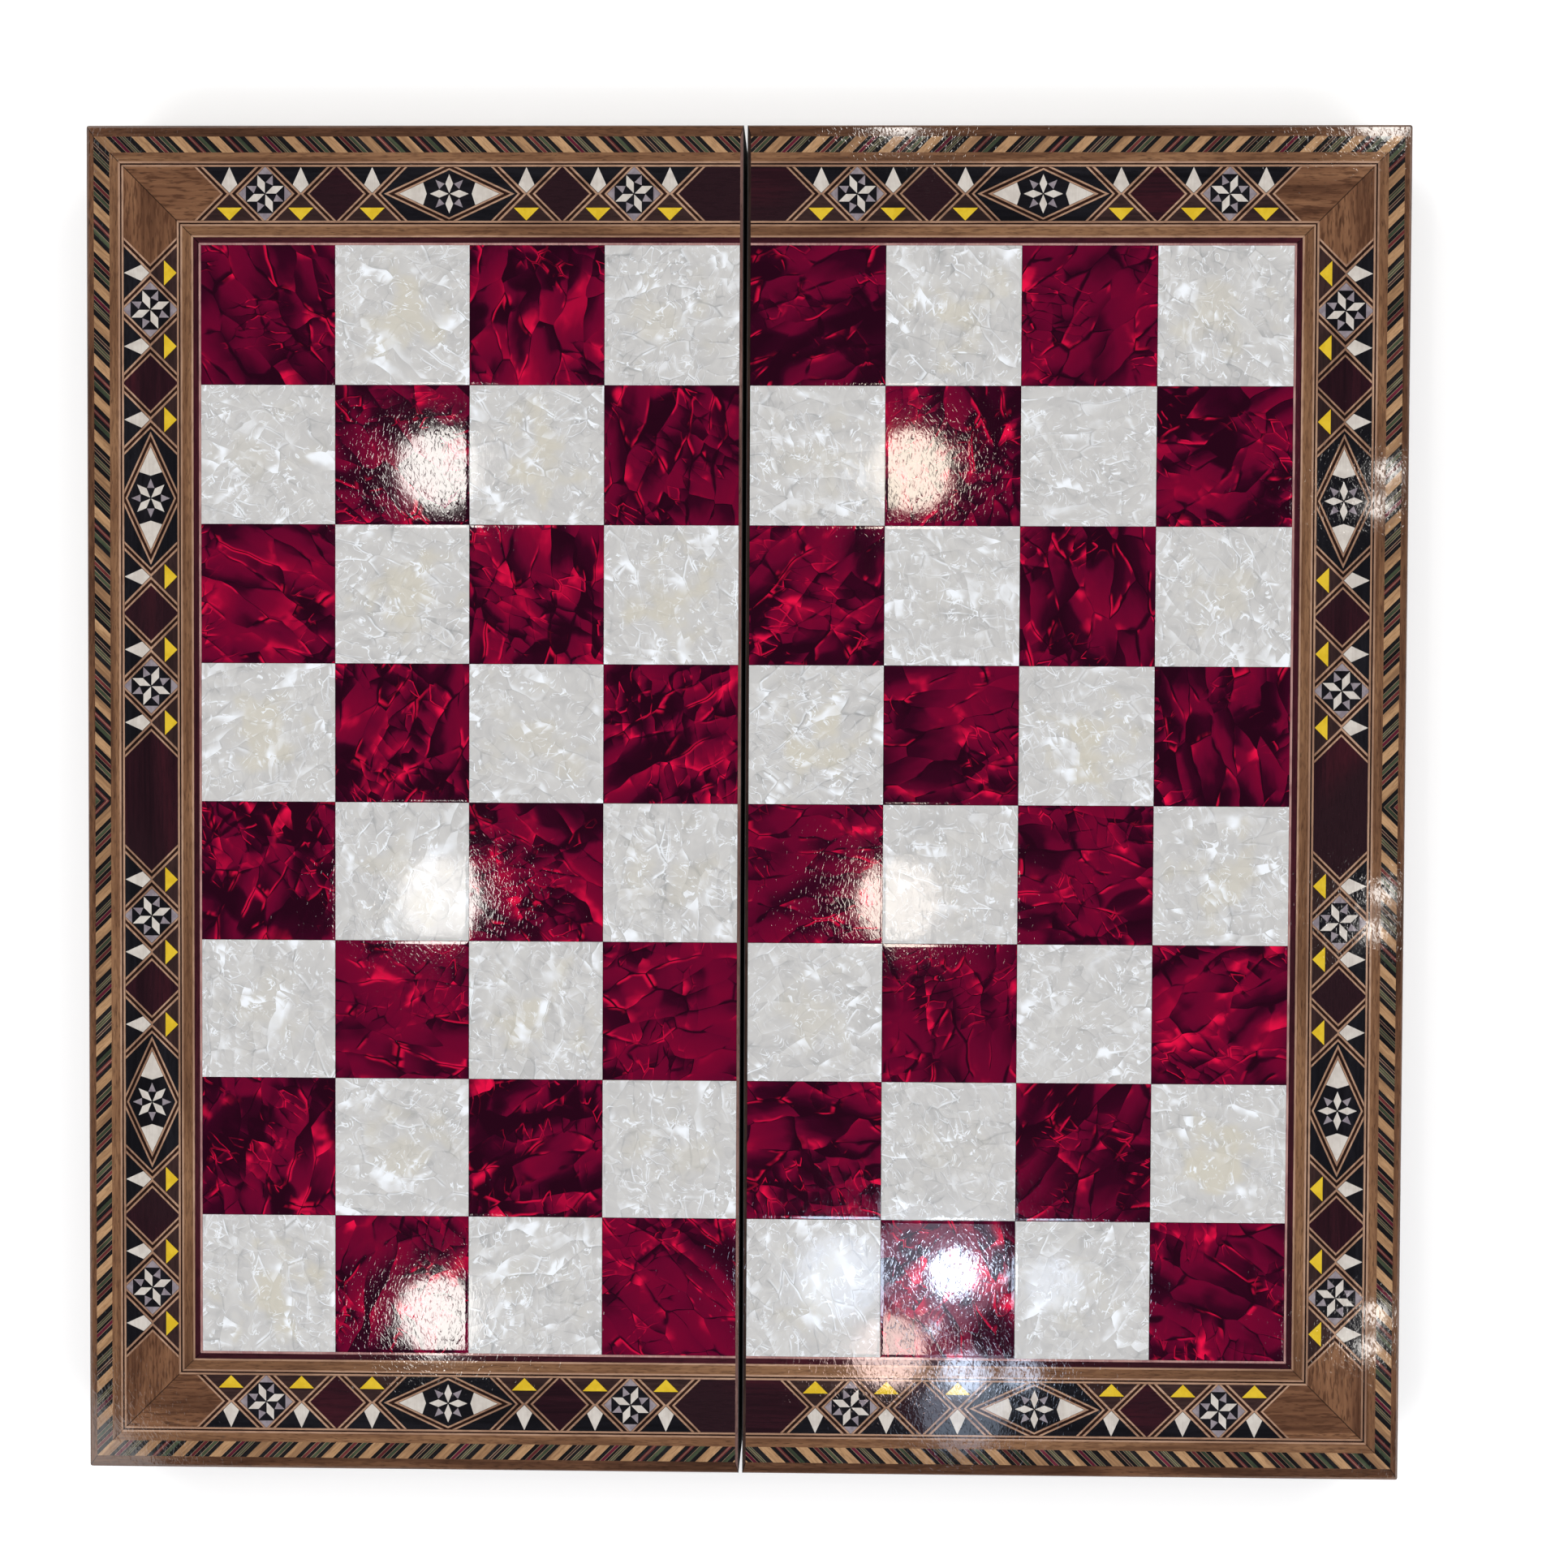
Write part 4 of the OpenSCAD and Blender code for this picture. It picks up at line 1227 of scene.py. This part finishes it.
def select_only(things: Iterable[Thing]) -> None:
    """Selects some objects alone and makes the first one active.

    Args:
        things: the objects.
    """
    deselect()
    for index, thing in enumerate(things):
        thing.select_set(True)
        if index == 0:
            bpy.context.view_layer.objects.active = thing


def started(name: str) -> Thing:
    """Names the primitive that was just added and puts its place into its mesh.

    Args:
        name: the piece's name.

    Returns:
        The object.
    """
    made = bpy.context.active_object
    made.name = name
    select_only([made])
    bpy.ops.object.transform_apply(location=True, rotation=True, scale=True)
    return made


def start_box(name: str, low: Sequence[float], high: Sequence[float]) -> Thing:
    """Adds a box between two corners, as the start of a piece.

    Args:
        name: the piece's name.
        low: the lowest corner.
        high: the highest corner.

    Returns:
        The object, with its place in its mesh.
    """
    middle = tuple((a + b) / 2 for a, b in zip(low, high))
    deselect()
    bpy.ops.mesh.primitive_cube_add(size=1.0, location=middle,
                                    scale=tuple(b - a for a, b in zip(low, high)))
    return started(name)


def start_rod(name: str, radius: float, low: Sequence[float], high: Sequence[float],
              sides: int = 40, top_radius: float | None = None) -> Thing:
    """Adds a rod or cone between two points on one axis, as the start of a piece.

    Args:
        name: the piece's name.
        radius: its radius at the low end.
        low: the middle of the low end.
        high: the middle of the high end.
        sides: its sides.
        top_radius: its radius at the high end, if that differs.

    Returns:
        The object, with its place in its mesh.
    """
    a, b = Vector(low), Vector(high)
    turn = (b - a).to_track_quat("Z", "Y").to_euler()
    deselect()
    bpy.ops.mesh.primitive_cone_add(vertices=sides, radius1=radius,
                                    radius2=radius if top_radius is None else top_radius,
                                    depth=(b - a).length, location=(a + b) / 2, rotation=turn)
    return started(name)


def edit(thing: Thing, kind: str, chosen: Callable[[Any], bool], *steps: Callable[[], Any]) -> None:
    """Selects some of a mesh in edit mode and runs operators on it.

    Args:
        thing: the object.
        kind: VERT, EDGE or FACE.
        chosen: says whether an element is selected.
        steps: the operators, in order.
    """
    select_only([thing])
    bpy.ops.object.mode_set(mode="EDIT")
    bpy.ops.mesh.select_mode(type=kind)
    bpy.ops.mesh.select_all(action="DESELECT")
    bpy.ops.object.mode_set(mode="OBJECT")
    mesh = thing.data
    for element in {"VERT": mesh.vertices, "EDGE": mesh.edges, "FACE": mesh.polygons}[kind]:
        element.select = chosen(element)
    bpy.ops.object.mode_set(mode="EDIT")
    for step in steps:
        step()
    bpy.ops.object.mode_set(mode="OBJECT")


def soften(thing: Thing, width: float, segments: int = 2, angle: float = 30.0) -> None:
    """Rounds a piece's sharp edges with an applied bevel.

    Args:
        thing: the object.
        width: width of the bevel.
        segments: its segments.
        angle: edges sharper than this many degrees are rounded.
    """
    select_only([thing])
    bpy.ops.object.modifier_add(type="BEVEL")
    bevel = thing.modifiers[-1]
    bevel.width, bevel.segments = width, segments
    bevel.limit_method, bevel.angle_limit = "ANGLE", math.radians(angle)
    bevel.harden_normals = False
    bpy.ops.object.modifier_apply(modifier=bevel.name)


def combine(thing: Thing, other: Thing, operation: str) -> None:
    """Joins another solid to a piece, or cuts it away, and removes it.

    Args:
        thing: the object that stays.
        other: the solid.
        operation: UNION or DIFFERENCE.
    """
    select_only([thing])
    bpy.ops.object.modifier_add(type="BOOLEAN")
    cut = thing.modifiers[-1]
    cut.operation, cut.object, cut.solver = operation, other, "EXACT"
    bpy.ops.object.modifier_apply(modifier=cut.name)
    bpy.data.objects.remove(other)


def smooth(thing: Thing, angle: float = 35.0) -> None:
    """Shades a piece smooth but keeps edges sharper than an angle in degrees."""
    select_only([thing])
    bpy.ops.object.shade_smooth_by_angle(angle=math.radians(angle))


def put(thing: Thing, place: Matrix) -> None:
    """Moves an object's mesh to a place, and turns its faces out again where that mirrors it.

    Args:
        thing: the object.
        place: the place.
    """
    thing.data.transform(place)
    if place.determinant() < 0:
        thing.data.flip_normals()


def copy_of(thing: Thing, place: Matrix) -> Thing:
    """Copies an object with its own mesh, and puts the copy's place into that mesh.

    Args:
        thing: the object.
        place: where the copy goes.

    Returns:
        The copy.
    """
    made = thing.copy()
    made.data = thing.data.copy()
    bpy.context.scene.collection.objects.link(made)
    put(made, place)
    return made


def join(name: str, things: Sequence[Thing]) -> Thing:
    """Joins objects into one piece.

    Args:
        name: the piece's name.
        things: the objects.

    Returns:
        The piece.
    """
    select_only(things)
    if len(things) > 1:
        bpy.ops.object.join()
    made = bpy.context.view_layer.objects.active
    made.name = name
    made.data.name = name
    return made


def finish_with(thing: Thing, material: bpy.types.Material) -> None:
    """Gives a piece one material in place of any that it has."""
    thing.data.materials.clear()
    thing.data.materials.append(material)


def stand_for(piece: Thing, body: str, node: str) -> Thing:
    """Puts a piece in its node's place.

    Args:
        piece: the piece.
        body: the body that it rides on.
        node: the node that it replaces.

    Returns:
        The piece.
    """
    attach(piece, body)
    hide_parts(node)
    return piece


Layers = tuple[tuple[str, float], ...]


@dataclass
class Banding:
    """The striped banding's dark slats, each glued up from thin coloured layers.

    A pattern lists the woods of one slat with their thickness in millimetres.
    """

    width: float = 5.9 * MM
    pale: float = 4.6 * MM
    dark: float = 9.6 * MM
    stub: float = 0.3 * MM
    seed: int = 11
    patterns: tuple[Layers, ...] = (
        (("black", 1.95), ("light", 0.25), ("red", 1.45), ("light", 0.2), ("black", 1.65),
         ("light", 0.25), ("green", 1.6), ("light", 0.25), ("black", 2.0)),
        (("black", 1.9), ("light", 0.3), ("umber", 0.9), ("light", 0.3), ("black", 1.5),
         ("light", 0.25), ("green", 0.9), ("light", 0.25), ("green", 0.9), ("light", 0.25),
         ("black", 2.15)),
        (("black", 2.0), ("red", 0.6), ("light", 0.25), ("red", 0.75), ("black", 1.8),
         ("light", 0.2), ("green", 1.9), ("black", 2.1)),
        (("black", 1.8), ("light", 0.25), ("wine", 1.5), ("light", 0.2), ("black", 1.2),
         ("light", 0.2), ("green", 0.7), ("light", 0.3), ("green", 0.8), ("light", 0.2),
         ("black", 2.45)),
    )
    order: tuple[int, ...] = (0, 0, 1, 2, 3)
    slats: dict[tuple[int, bool], Thing] = field(default_factory=dict)

    def _layer(self, wood: str, start: float, end: float) -> Thing:
        """Models one layer, whose far side is pushed along to the slant of the slat.

        Args:
            wood: its wood.
            start: where it starts along the banding.
            end: where it ends.

        Returns:
            The layer.
        """
        made = start_box(f"layer_{wood}", (start, 0.0, BOX.inlay_z), (end, self.width, BOX.top_z))
        edit(made, "VERT", lambda v: v.co.y > self.width / 2,
             lambda: bpy.ops.transform.translate(value=(self.width, 0.0, 0.0)))
        return made

    def _slat(self, pattern: int, turned: bool, shop: Workshop) -> Thing:
        """Models one slat from its layers.

        Args:
            pattern: number of its pattern.
            turned: whether the layers run the other way.
            shop: gives the layers their finishes.

        Returns:
            The slat, which starts at the leg's mitre.
        """
        layers = self.patterns[pattern]
        parts, at = [], 0.0
        for wood, thickness in (reversed(layers) if turned else layers):
            part = self._layer(wood, at, at + thickness * MM)
            finish_with(part, shop.finish(f"{wood}_slat"))
            parts.append(part)
            at += thickness * MM
        return join(f"slat_{pattern}_{int(turned)}", parts)

    def _trim(self, slat: Thing, end: float) -> None:
        """Saws off what passes the end of the leg.

        Args:
            slat: the slat.
            end: the leg's length.
        """
        select_only([slat])
        bpy.ops.object.mode_set(mode="EDIT")
        bpy.ops.mesh.select_all(action="SELECT")
        bpy.ops.mesh.bisect(plane_co=(end, 0.0, 0.0), plane_no=(1.0, 0.0, 0.0), use_fill=True,
                            clear_outer=True)
        bpy.ops.object.mode_set(mode="OBJECT")

    def _leg_place(self, half: Half, head: int, on_side: bool) -> Matrix:
        """Finds where a leg lies: from a corner's mitre to the seam or to the middle of a side.

        Args:
            half: the half of the box.
            head: 1 at the head, -1 at the foot.
            on_side: whether it runs along the outer side.

        Returns:
            The matrix from the leg's own place to the box.
        """
        x0, y0 = BOX.outer_x - BOX.side_lip, BOX.half_length - BOX.end_lip
        if on_side:
            rows = ((0, -half.way, 0, half.way * x0), (-head, 0, 0, head * y0))
        else:
            rows = ((-half.way, 0, 0, half.way * x0), (0, -head, 0, head * y0))
        return Matrix((*rows, (0, 0, 1, 0), (0, 0, 0, 1)))

    def build(self, half: Half, shop: Workshop) -> Thing:
        """Models all the dark slats of one half and puts them in their node's place.

        Args:
            half: the half of the box.
            shop: gives the slats their finishes.

        Returns:
            The piece.
        """
        chance = random.Random(self.seed + half.way)
        turned = half is Half.RIGHT
        made = []
        for head in (1, -1):
            for on_side in (False, True):
                length = (BOX.half_length - BOX.end_lip if on_side
                          else BOX.outer_x - BOX.side_lip - BOX.seam_x - BOX.spine_lip)
                place = self._leg_place(half, head, on_side)
                at = 0.0 if on_side else self.pale
                while at < length - self.stub:
                    key = (chance.choice(self.order), turned)
                    if key not in self.slats:
                        self.slats[key] = self._slat(*key, shop)
                    slat = copy_of(self.slats[key], Matrix.Translation((at, 0.0, 0.0)))
                    if at + self.dark + self.width > length:
                        self._trim(slat, length)
                    put(slat, place)
                    made.append(slat)
                    at += self.pale + self.dark
        piece = join(half.node("banding_slats"), made)
        return stand_for(piece, half.body, half.node("dark_banding"))

    def clear_up(self) -> None:
        """Removes the slats that were only copied."""
        for slat in self.slats.values():
            bpy.data.objects.remove(slat)


@dataclass
class ButtHinge:
    """The brass butt hinges under the seam, with their pins and countersunk screws."""

    pitch: float = 170 * MM
    count: int = 3
    length: float = 38 * MM
    knuckle: float = 2.2 * MM
    knuckles: int = 5
    play: float = 0.2 * MM
    pin: float = 0.9 * MM
    leaf: float = 1.2 * MM
    leaf_z: float = 2.4 * MM
    leaf_start: float = 2.45 * MM
    leaf_end: float = 10.1 * MM
    screw: float = 0.9 * MM
    head: float = 1.8 * MM
    head_h: float = 0.9 * MM
    screw_length: float = 9 * MM
    screw_inset: float = 6 * MM
    slot: float = 0.5 * MM
    slack: float = 0.05 * MM
    beyond: float = 1.0 * MM
    sink_start: float = 0.001 * MM
    root_overlap: float = 0.5 * MM
    leaf_corner: float = 0.8 * MM
    leaf_round: float = 0.12 * MM
    screw_round: float = 0.06 * MM
    shank_overlap: float = 0.09 * MM
    screw_tip: float = 0.225 * MM
    pin_round: float = 0.35 * MM

    @property
    def screw_x(self) -> float:
        """Returns the distance of the screws from the axis."""
        return (self.leaf_start + self.leaf_end) / 2

    @property
    def screw_ys(self) -> tuple[float, float, float]:
        """Returns the places of the screws along one leaf."""
        reach = self.length / 2 - self.screw_inset
        return -reach, 0.0, reach

    def _leaf(self, first: int) -> Thing:
        """Models one leaf on the left of the axis, with its rolled knuckles and countersunk holes.

        Args:
            first: the first of its knuckles, 0 or 1.

        Returns:
            The leaf.
        """
        half, top = self.length / 2, self.leaf_z + self.leaf
        leaf = start_box("leaf", (-self.leaf_end, -half, self.leaf_z),
                         (-self.leaf_start, half, top))
        corners = leaf.data.vertices
        edit(leaf, "EDGE", lambda e: self._is_corner([corners[v].co for v in e.vertices]),
             lambda: bpy.ops.mesh.bevel(offset=self.leaf_corner, segments=5))
        for y in self.screw_ys:
            bore = start_rod("bore", self.screw + self.slack,
                             (-self.screw_x, y, self.leaf_z - self.beyond),
                             (-self.screw_x, y, top + self.beyond))
            combine(leaf, bore, "DIFFERENCE")
            sink = start_rod("sink", self.head + self.slack,
                             (-self.screw_x, y, self.leaf_z - self.sink_start),
                             (-self.screw_x, y, self.leaf_z + self.head_h), top_radius=self.screw)
            combine(leaf, sink, "DIFFERENCE")
        step = self.length / self.knuckles
        for k in range(first, self.knuckles, 2):
            start = -half + k * step + self.play / 2
            end = start + step - self.play
            root = start_box("root", (-self.leaf_start - self.root_overlap, start, self.leaf_z),
                             (-self.knuckle / 2, end, top))
            combine(leaf, root, "UNION")
            barrel = start_rod("barrel", self.knuckle, (0.0, start, self.knuckle),
                               (0.0, end, self.knuckle))
            combine(leaf, barrel, "UNION")
            bore = start_rod("bore", self.pin + self.slack,
                             (0.0, start - self.beyond, self.knuckle),
                             (0.0, end + self.beyond, self.knuckle))
            combine(leaf, bore, "DIFFERENCE")
        soften(leaf, self.leaf_round)
        smooth(leaf)
        return leaf

    def _is_corner(self, ends: Sequence[Vector]) -> bool:
        """Tells whether an edge stands at one of the leaf's outer corners.

        Args:
            ends: the edge's two ends.

        Returns:
            Whether it does.
        """
        outer = all(end.x < -self.leaf_start - self.beyond for end in ends)
        return outer and abs(ends[0].z - ends[1].z) > self.leaf / 2

    def _screw(self) -> Thing:
        """Models one slotted countersunk screw, with a tapered shank under its head.

        Returns:
            The screw.
        """
        x, z = -self.screw_x, self.leaf_z
        screw = start_rod("screw", self.head, (x, 0.0, z), (x, 0.0, z + self.head_h),
                          top_radius=self.screw)
        shank = start_rod("shank", self.screw, (x, 0.0, z + self.head_h - self.shank_overlap),
                          (x, 0.0, z + self.screw_length), sides=24, top_radius=self.screw_tip)
        combine(screw, shank, "UNION")
        reach = self.head + self.beyond
        slot = start_box("slot", (x - self.slot / 2, -reach, z - self.beyond),
                         (x + self.slot / 2, reach, z + self.head_h / 2))
        combine(screw, slot, "DIFFERENCE")
        soften(screw, self.screw_round)
        smooth(screw)
        return screw

    def _pin(self) -> Thing:
        """Models one pin with rounded ends.

        Returns:
            The pin.
        """
        pin = start_rod("pin", self.pin, (0.0, -self.length / 2, self.knuckle),
                        (0.0, self.length / 2, self.knuckle), sides=32)
        edit(pin, "FACE", lambda f: abs(f.normal.y) > 0.9,
             lambda: bpy.ops.mesh.bevel(offset=self.pin_round, segments=4, affect="EDGES"))
        smooth(pin)
        return pin

    def _repeat(self, name: str, part: Thing, places: Iterable[Matrix], body: str, node: str,
                shop: Workshop) -> Thing:
        """Copies a part to its places and joins the copies into one piece.

        Args:
            name: the piece's name.
            part: the part, which is removed.
            places: where the copies go.
            body: the body that the piece rides on.
            node: the node that it replaces.
            shop: gives it its finish.

        Returns:
            The piece.
        """
        copies = [copy_of(part, place) for place in places]
        bpy.data.objects.remove(part)
        piece = join(name, copies)
        finish_with(piece, shop.finish("brass"))
        return stand_for(piece, body, node)

    def build(self, shop: Workshop) -> list[Thing]:
        """Models the hinges, their screws and their pins.

        Args:
            shop: gives them their finish.

        Returns:
            The pieces.
        """
        ys = [(i - (self.count - 1) / 2) * self.pitch for i in range(self.count)]
        moves = [Matrix.Translation((0.0, y, 0.0)) for y in ys]
        pieces = []
        for first, half in enumerate(Half):
            flip = Matrix.Scale(-half.way, 4, (1, 0, 0))
            leaves = [move @ flip for move in moves]
            screws = [move @ Matrix.Translation((0.0, y, 0.0)) @ flip
                      for move in moves for y in self.screw_ys]
            pieces.append(self._repeat(half.node("butt_leaves"), self._leaf(first), leaves,
                                       half.body, half.node("hinge_leaves"), shop))
            pieces.append(self._repeat(half.node("butt_screws"), self._screw(), screws,
                                       half.body, half.node("hinge_screws"), shop))
        pieces.append(self._repeat("butt_pins", self._pin(), moves, Half.LEFT.body, "hinge_pins",
                                   shop))
        return pieces


WARM_LAMP = (255, 240, 222)
COOL_LAMP = (214, 230, 255)


@dataclass(frozen=True)
class Spot:
    """A ceiling lamp, named by where the varnish mirrors it to the camera."""

    x: float
    y: float
    radius: float = 38 * MM
    radiance: float = 25.0
    tint: Colour = (255, 250, 244)


@dataclass
class StudioRoom:
    """The floor, the walls, the lamps and the camera."""

    camera_place: tuple[float, float, float] = (0.02979, 0.02625, 0.84183)
    camera_turn: tuple[float, float, float] = (-1.334, 1.044, 0.263)
    lens: float = 48.88
    sensor: float = 36.0
    clip: Range = (0.01, 50.0)
    floor_radius: float = 2.3
    floor_sides: int = 96
    wall_height: float = 2.1
    sweep: float = 0.9
    sweep_steps: int = 10
    ceiling: float = 1.2
    soft_size: float = 0.9
    soft_distance: float = 1.5
    soft_azimuths: tuple[int, ...] = (45, 135, 225, 315)
    soft_elevation: float = 38.0
    soft_radiance: float = 2.9
    ambient: float = 0.05
    spots: tuple[Spot, ...] = (
        Spot(-0.114, 0.285), Spot(0.057, 0.264), Spot(0.237, 0.263),
        Spot(-0.114, 0.125), Spot(0.062, 0.125, tint=WARM_LAMP),
        Spot(-0.114, -0.036), Spot(0.058, -0.036, tint=(255, 242, 228)),
        Spot(-0.114, -0.194), Spot(0.08, -0.176, 0.022, 80.0, COOL_LAMP),
        Spot(0.076, -0.172, 0.06, 2.5, COOL_LAMP), Spot(0.037, -0.178, 0.04, 22.0, COOL_LAMP),
        Spot(0.118, -0.18, 0.026, 20.0, COOL_LAMP), Spot(0.084, -0.214, 0.02, 26.0, COOL_LAMP),
        Spot(0.084, -0.228, 0.04, 4.0, COOL_LAMP), Spot(0.106, -0.214, 0.016, 16.0, COOL_LAMP),
        Spot(0.056, -0.206, 0.034, 21.0, (255, 222, 214)),
    )
    rim_spots: tuple[Range, ...] = ((0.239, 0.125), (0.236, 0.112), (0.239, -0.032),
                                    (0.236, -0.046), (0.238, -0.19), (0.236, -0.203))
    rim_spot: Range = (11 * MM, 22.0)
    bulb: Range = (6 * MM, 60.0)
    bulb_count: int = 16
    bulb_turn: float = 2.4
    bulb_start: float = 10 * MM
    bulb_step: float = 1.0 * MM
    bulb_middle: Range = (0.076, -0.172)

    def all_spots(self) -> list[Spot]:
        """Lists the ceiling lamps, with the small bulbs that stand round the cool lamp in a spiral.

        Returns:
            The lamps.
        """
        middle_x, middle_y = self.bulb_middle
        rim = [Spot(x, y, *self.rim_spot) for x, y in self.rim_spots]
        spiral = []
        for index in range(self.bulb_count):
            angle, reach = self.bulb_turn * index, self.bulb_start + self.bulb_step * index
            spiral.append(Spot(middle_x + reach * math.cos(angle),
                               middle_y + reach * math.sin(angle), *self.bulb, COOL_LAMP))
        return [*self.spots, *rim, *spiral]

    def camera(self) -> None:
        """Adds the camera at the photograph's place."""
        bpy.ops.object.camera_add(location=self.camera_place,
                                  rotation=tuple(math.radians(a) for a in self.camera_turn))
        made = bpy.context.active_object
        made.name = "view_from_above"
        made.data.lens, made.data.sensor_width = self.lens, self.sensor
        made.data.clip_start, made.data.clip_end = self.clip
        bpy.context.scene.camera = made

    def floor(self, shop: Workshop) -> None:
        """Models the floor, which sweeps up into a round wall.

        Args:
            shop: gives it its finish.
        """
        deselect()
        bpy.ops.mesh.primitive_circle_add(vertices=self.floor_sides, radius=self.floor_radius,
                                          fill_type="NGON")
        floor = bpy.context.active_object
        floor.name = "studio_sweep"
        angles = [math.pi / 2 * i / self.sweep_steps for i in range(self.sweep_steps + 1)]
        rises = [self.sweep * (1 - math.cos(a)) for a in angles] + [self.wall_height]
        reaches = [self.floor_radius + self.sweep * math.sin(a) for a in angles]
        reaches.append(reaches[-1])
        select_only([floor])
        bpy.ops.object.mode_set(mode="EDIT")
        bpy.ops.mesh.select_mode(type="EDGE")
        bpy.ops.mesh.select_all(action="SELECT")
        for (low, high), (near, far) in zip(zip(rises, rises[1:]), zip(reaches, reaches[1:])):
            move = {"value": (0.0, 0.0, high - low)}
            bpy.ops.mesh.extrude_edges_move(TRANSFORM_OT_translate=move)
            bpy.ops.transform.resize(value=(far / near, far / near, 1.0))
        bpy.ops.object.mode_set(mode="OBJECT")
        smooth(floor, 40.0)
        finish_with(floor, shop.finish("studio"))
        floor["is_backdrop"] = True

    def _lamp(self, name: str, place: Vector, aim: Vector, size: float, radiance: float,
              shape: str = "DISK", tint: Colour = (255, 255, 255)) -> None:
        """Adds one area lamp, which the camera doesn't see.

        Args:
            name: the lamp's name.
            place: where it hangs.
            aim: the point that it faces.
            size: its width.
            radiance: its brightness, where 1 is white.
            shape: SQUARE or DISK.
            tint: its colour.
        """
        turn = (aim - place).to_track_quat("-Z", "Y").to_euler()
        bpy.ops.object.light_add(type="AREA", location=place, rotation=turn)
        lamp = bpy.context.active_object
        lamp.name = name
        lamp.data.shape, lamp.data.size = shape, size
        area = size * size * (math.pi / 4 if shape == "DISK" else 1.0)
        lamp.data.energy = radiance * math.pi * area
        lamp.data.color = srgb(*tint)[:3]
        lamp.visible_camera = False

    def lamps(self) -> None:
        """Hangs the soft lamps round the box and the ceiling lamps that the varnish mirrors."""
        rise = math.radians(self.soft_elevation)
        board = Vector((0.0, 0.0, BOX.top_z))
        for azimuth in self.soft_azimuths:
            a = math.radians(azimuth)
            way = (math.cos(a) * math.cos(rise), math.sin(a) * math.cos(rise), math.sin(rise))
            self._lamp(f"soft_lamp_{azimuth}", Vector(way) * self.soft_distance, board,
                       self.soft_size, self.soft_radiance, "SQUARE")
        eye = Vector(self.camera_place)
        above = eye.z - BOX.top_z
        for index, spot in enumerate(self.all_spots()):
            seen = Vector((spot.x, spot.y, BOX.top_z))
            away = Vector((seen.x - eye.x, seen.y - eye.y, 0.0)) * (self.ceiling / above)
            place = seen + away + Vector((0.0, 0.0, self.ceiling))
            self._lamp(f"ceiling_lamp_{index}", place, Vector((place.x, place.y, 0.0)),
                       2 * spot.radius, spot.radiance, tint=spot.tint)

    def world(self) -> None:
        """Adds the dim light of the room."""
        world = bpy.data.worlds.new("room")
        world.use_nodes = True
        back = world.node_tree.nodes["Background"]
        back.inputs[0].default_value = (1.0, 1.0, 1.0, 1.0)
        back.inputs[1].default_value = self.ambient
        bpy.context.scene.world = world

    def build(self, shop: Workshop) -> None:
        """Makes the whole room.

        Args:
            shop: gives the floor its finish.
        """
        self.camera()
        self.floor(shop)
        self.lamps()
        self.world()
        bpy.context.scene.view_settings.view_transform = "Standard"


def dress_nodes(shop: Workshop) -> int:
    """Gives every carried-over node its finish.

    Args:
        shop: makes the finishes.

    Returns:
        How many nodes were dressed.
    """
    for name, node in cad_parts.items():
        plain = name.removeprefix("left_").removeprefix("right_")
        for slot in node.material_slots:
            slot.material = shop.finish(name if name in FINISHES else plain)
    return len(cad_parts)


def corners() -> list[list[float]]:
    """Returns the lowest and highest corner of the whole object, as plain numbers."""
    return [list(corner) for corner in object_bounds()]


def main() -> None:
    """Builds the scene in order and reports each piece."""
    logging.basicConfig(level=logging.INFO, format="%(message)s")
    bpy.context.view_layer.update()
    shop = Workshop()
    log.info("nodes dressed: %d", dress_nodes(shop))
    banding = Banding()
    for half in Half:
        log.info("built %s", banding.build(half, shop).name)
    banding.clear_up()
    for piece in ButtHinge().build(shop):
        log.info("built %s", piece.name)
    StudioRoom().build(shop)


if __name__ == "__main__":
    main()
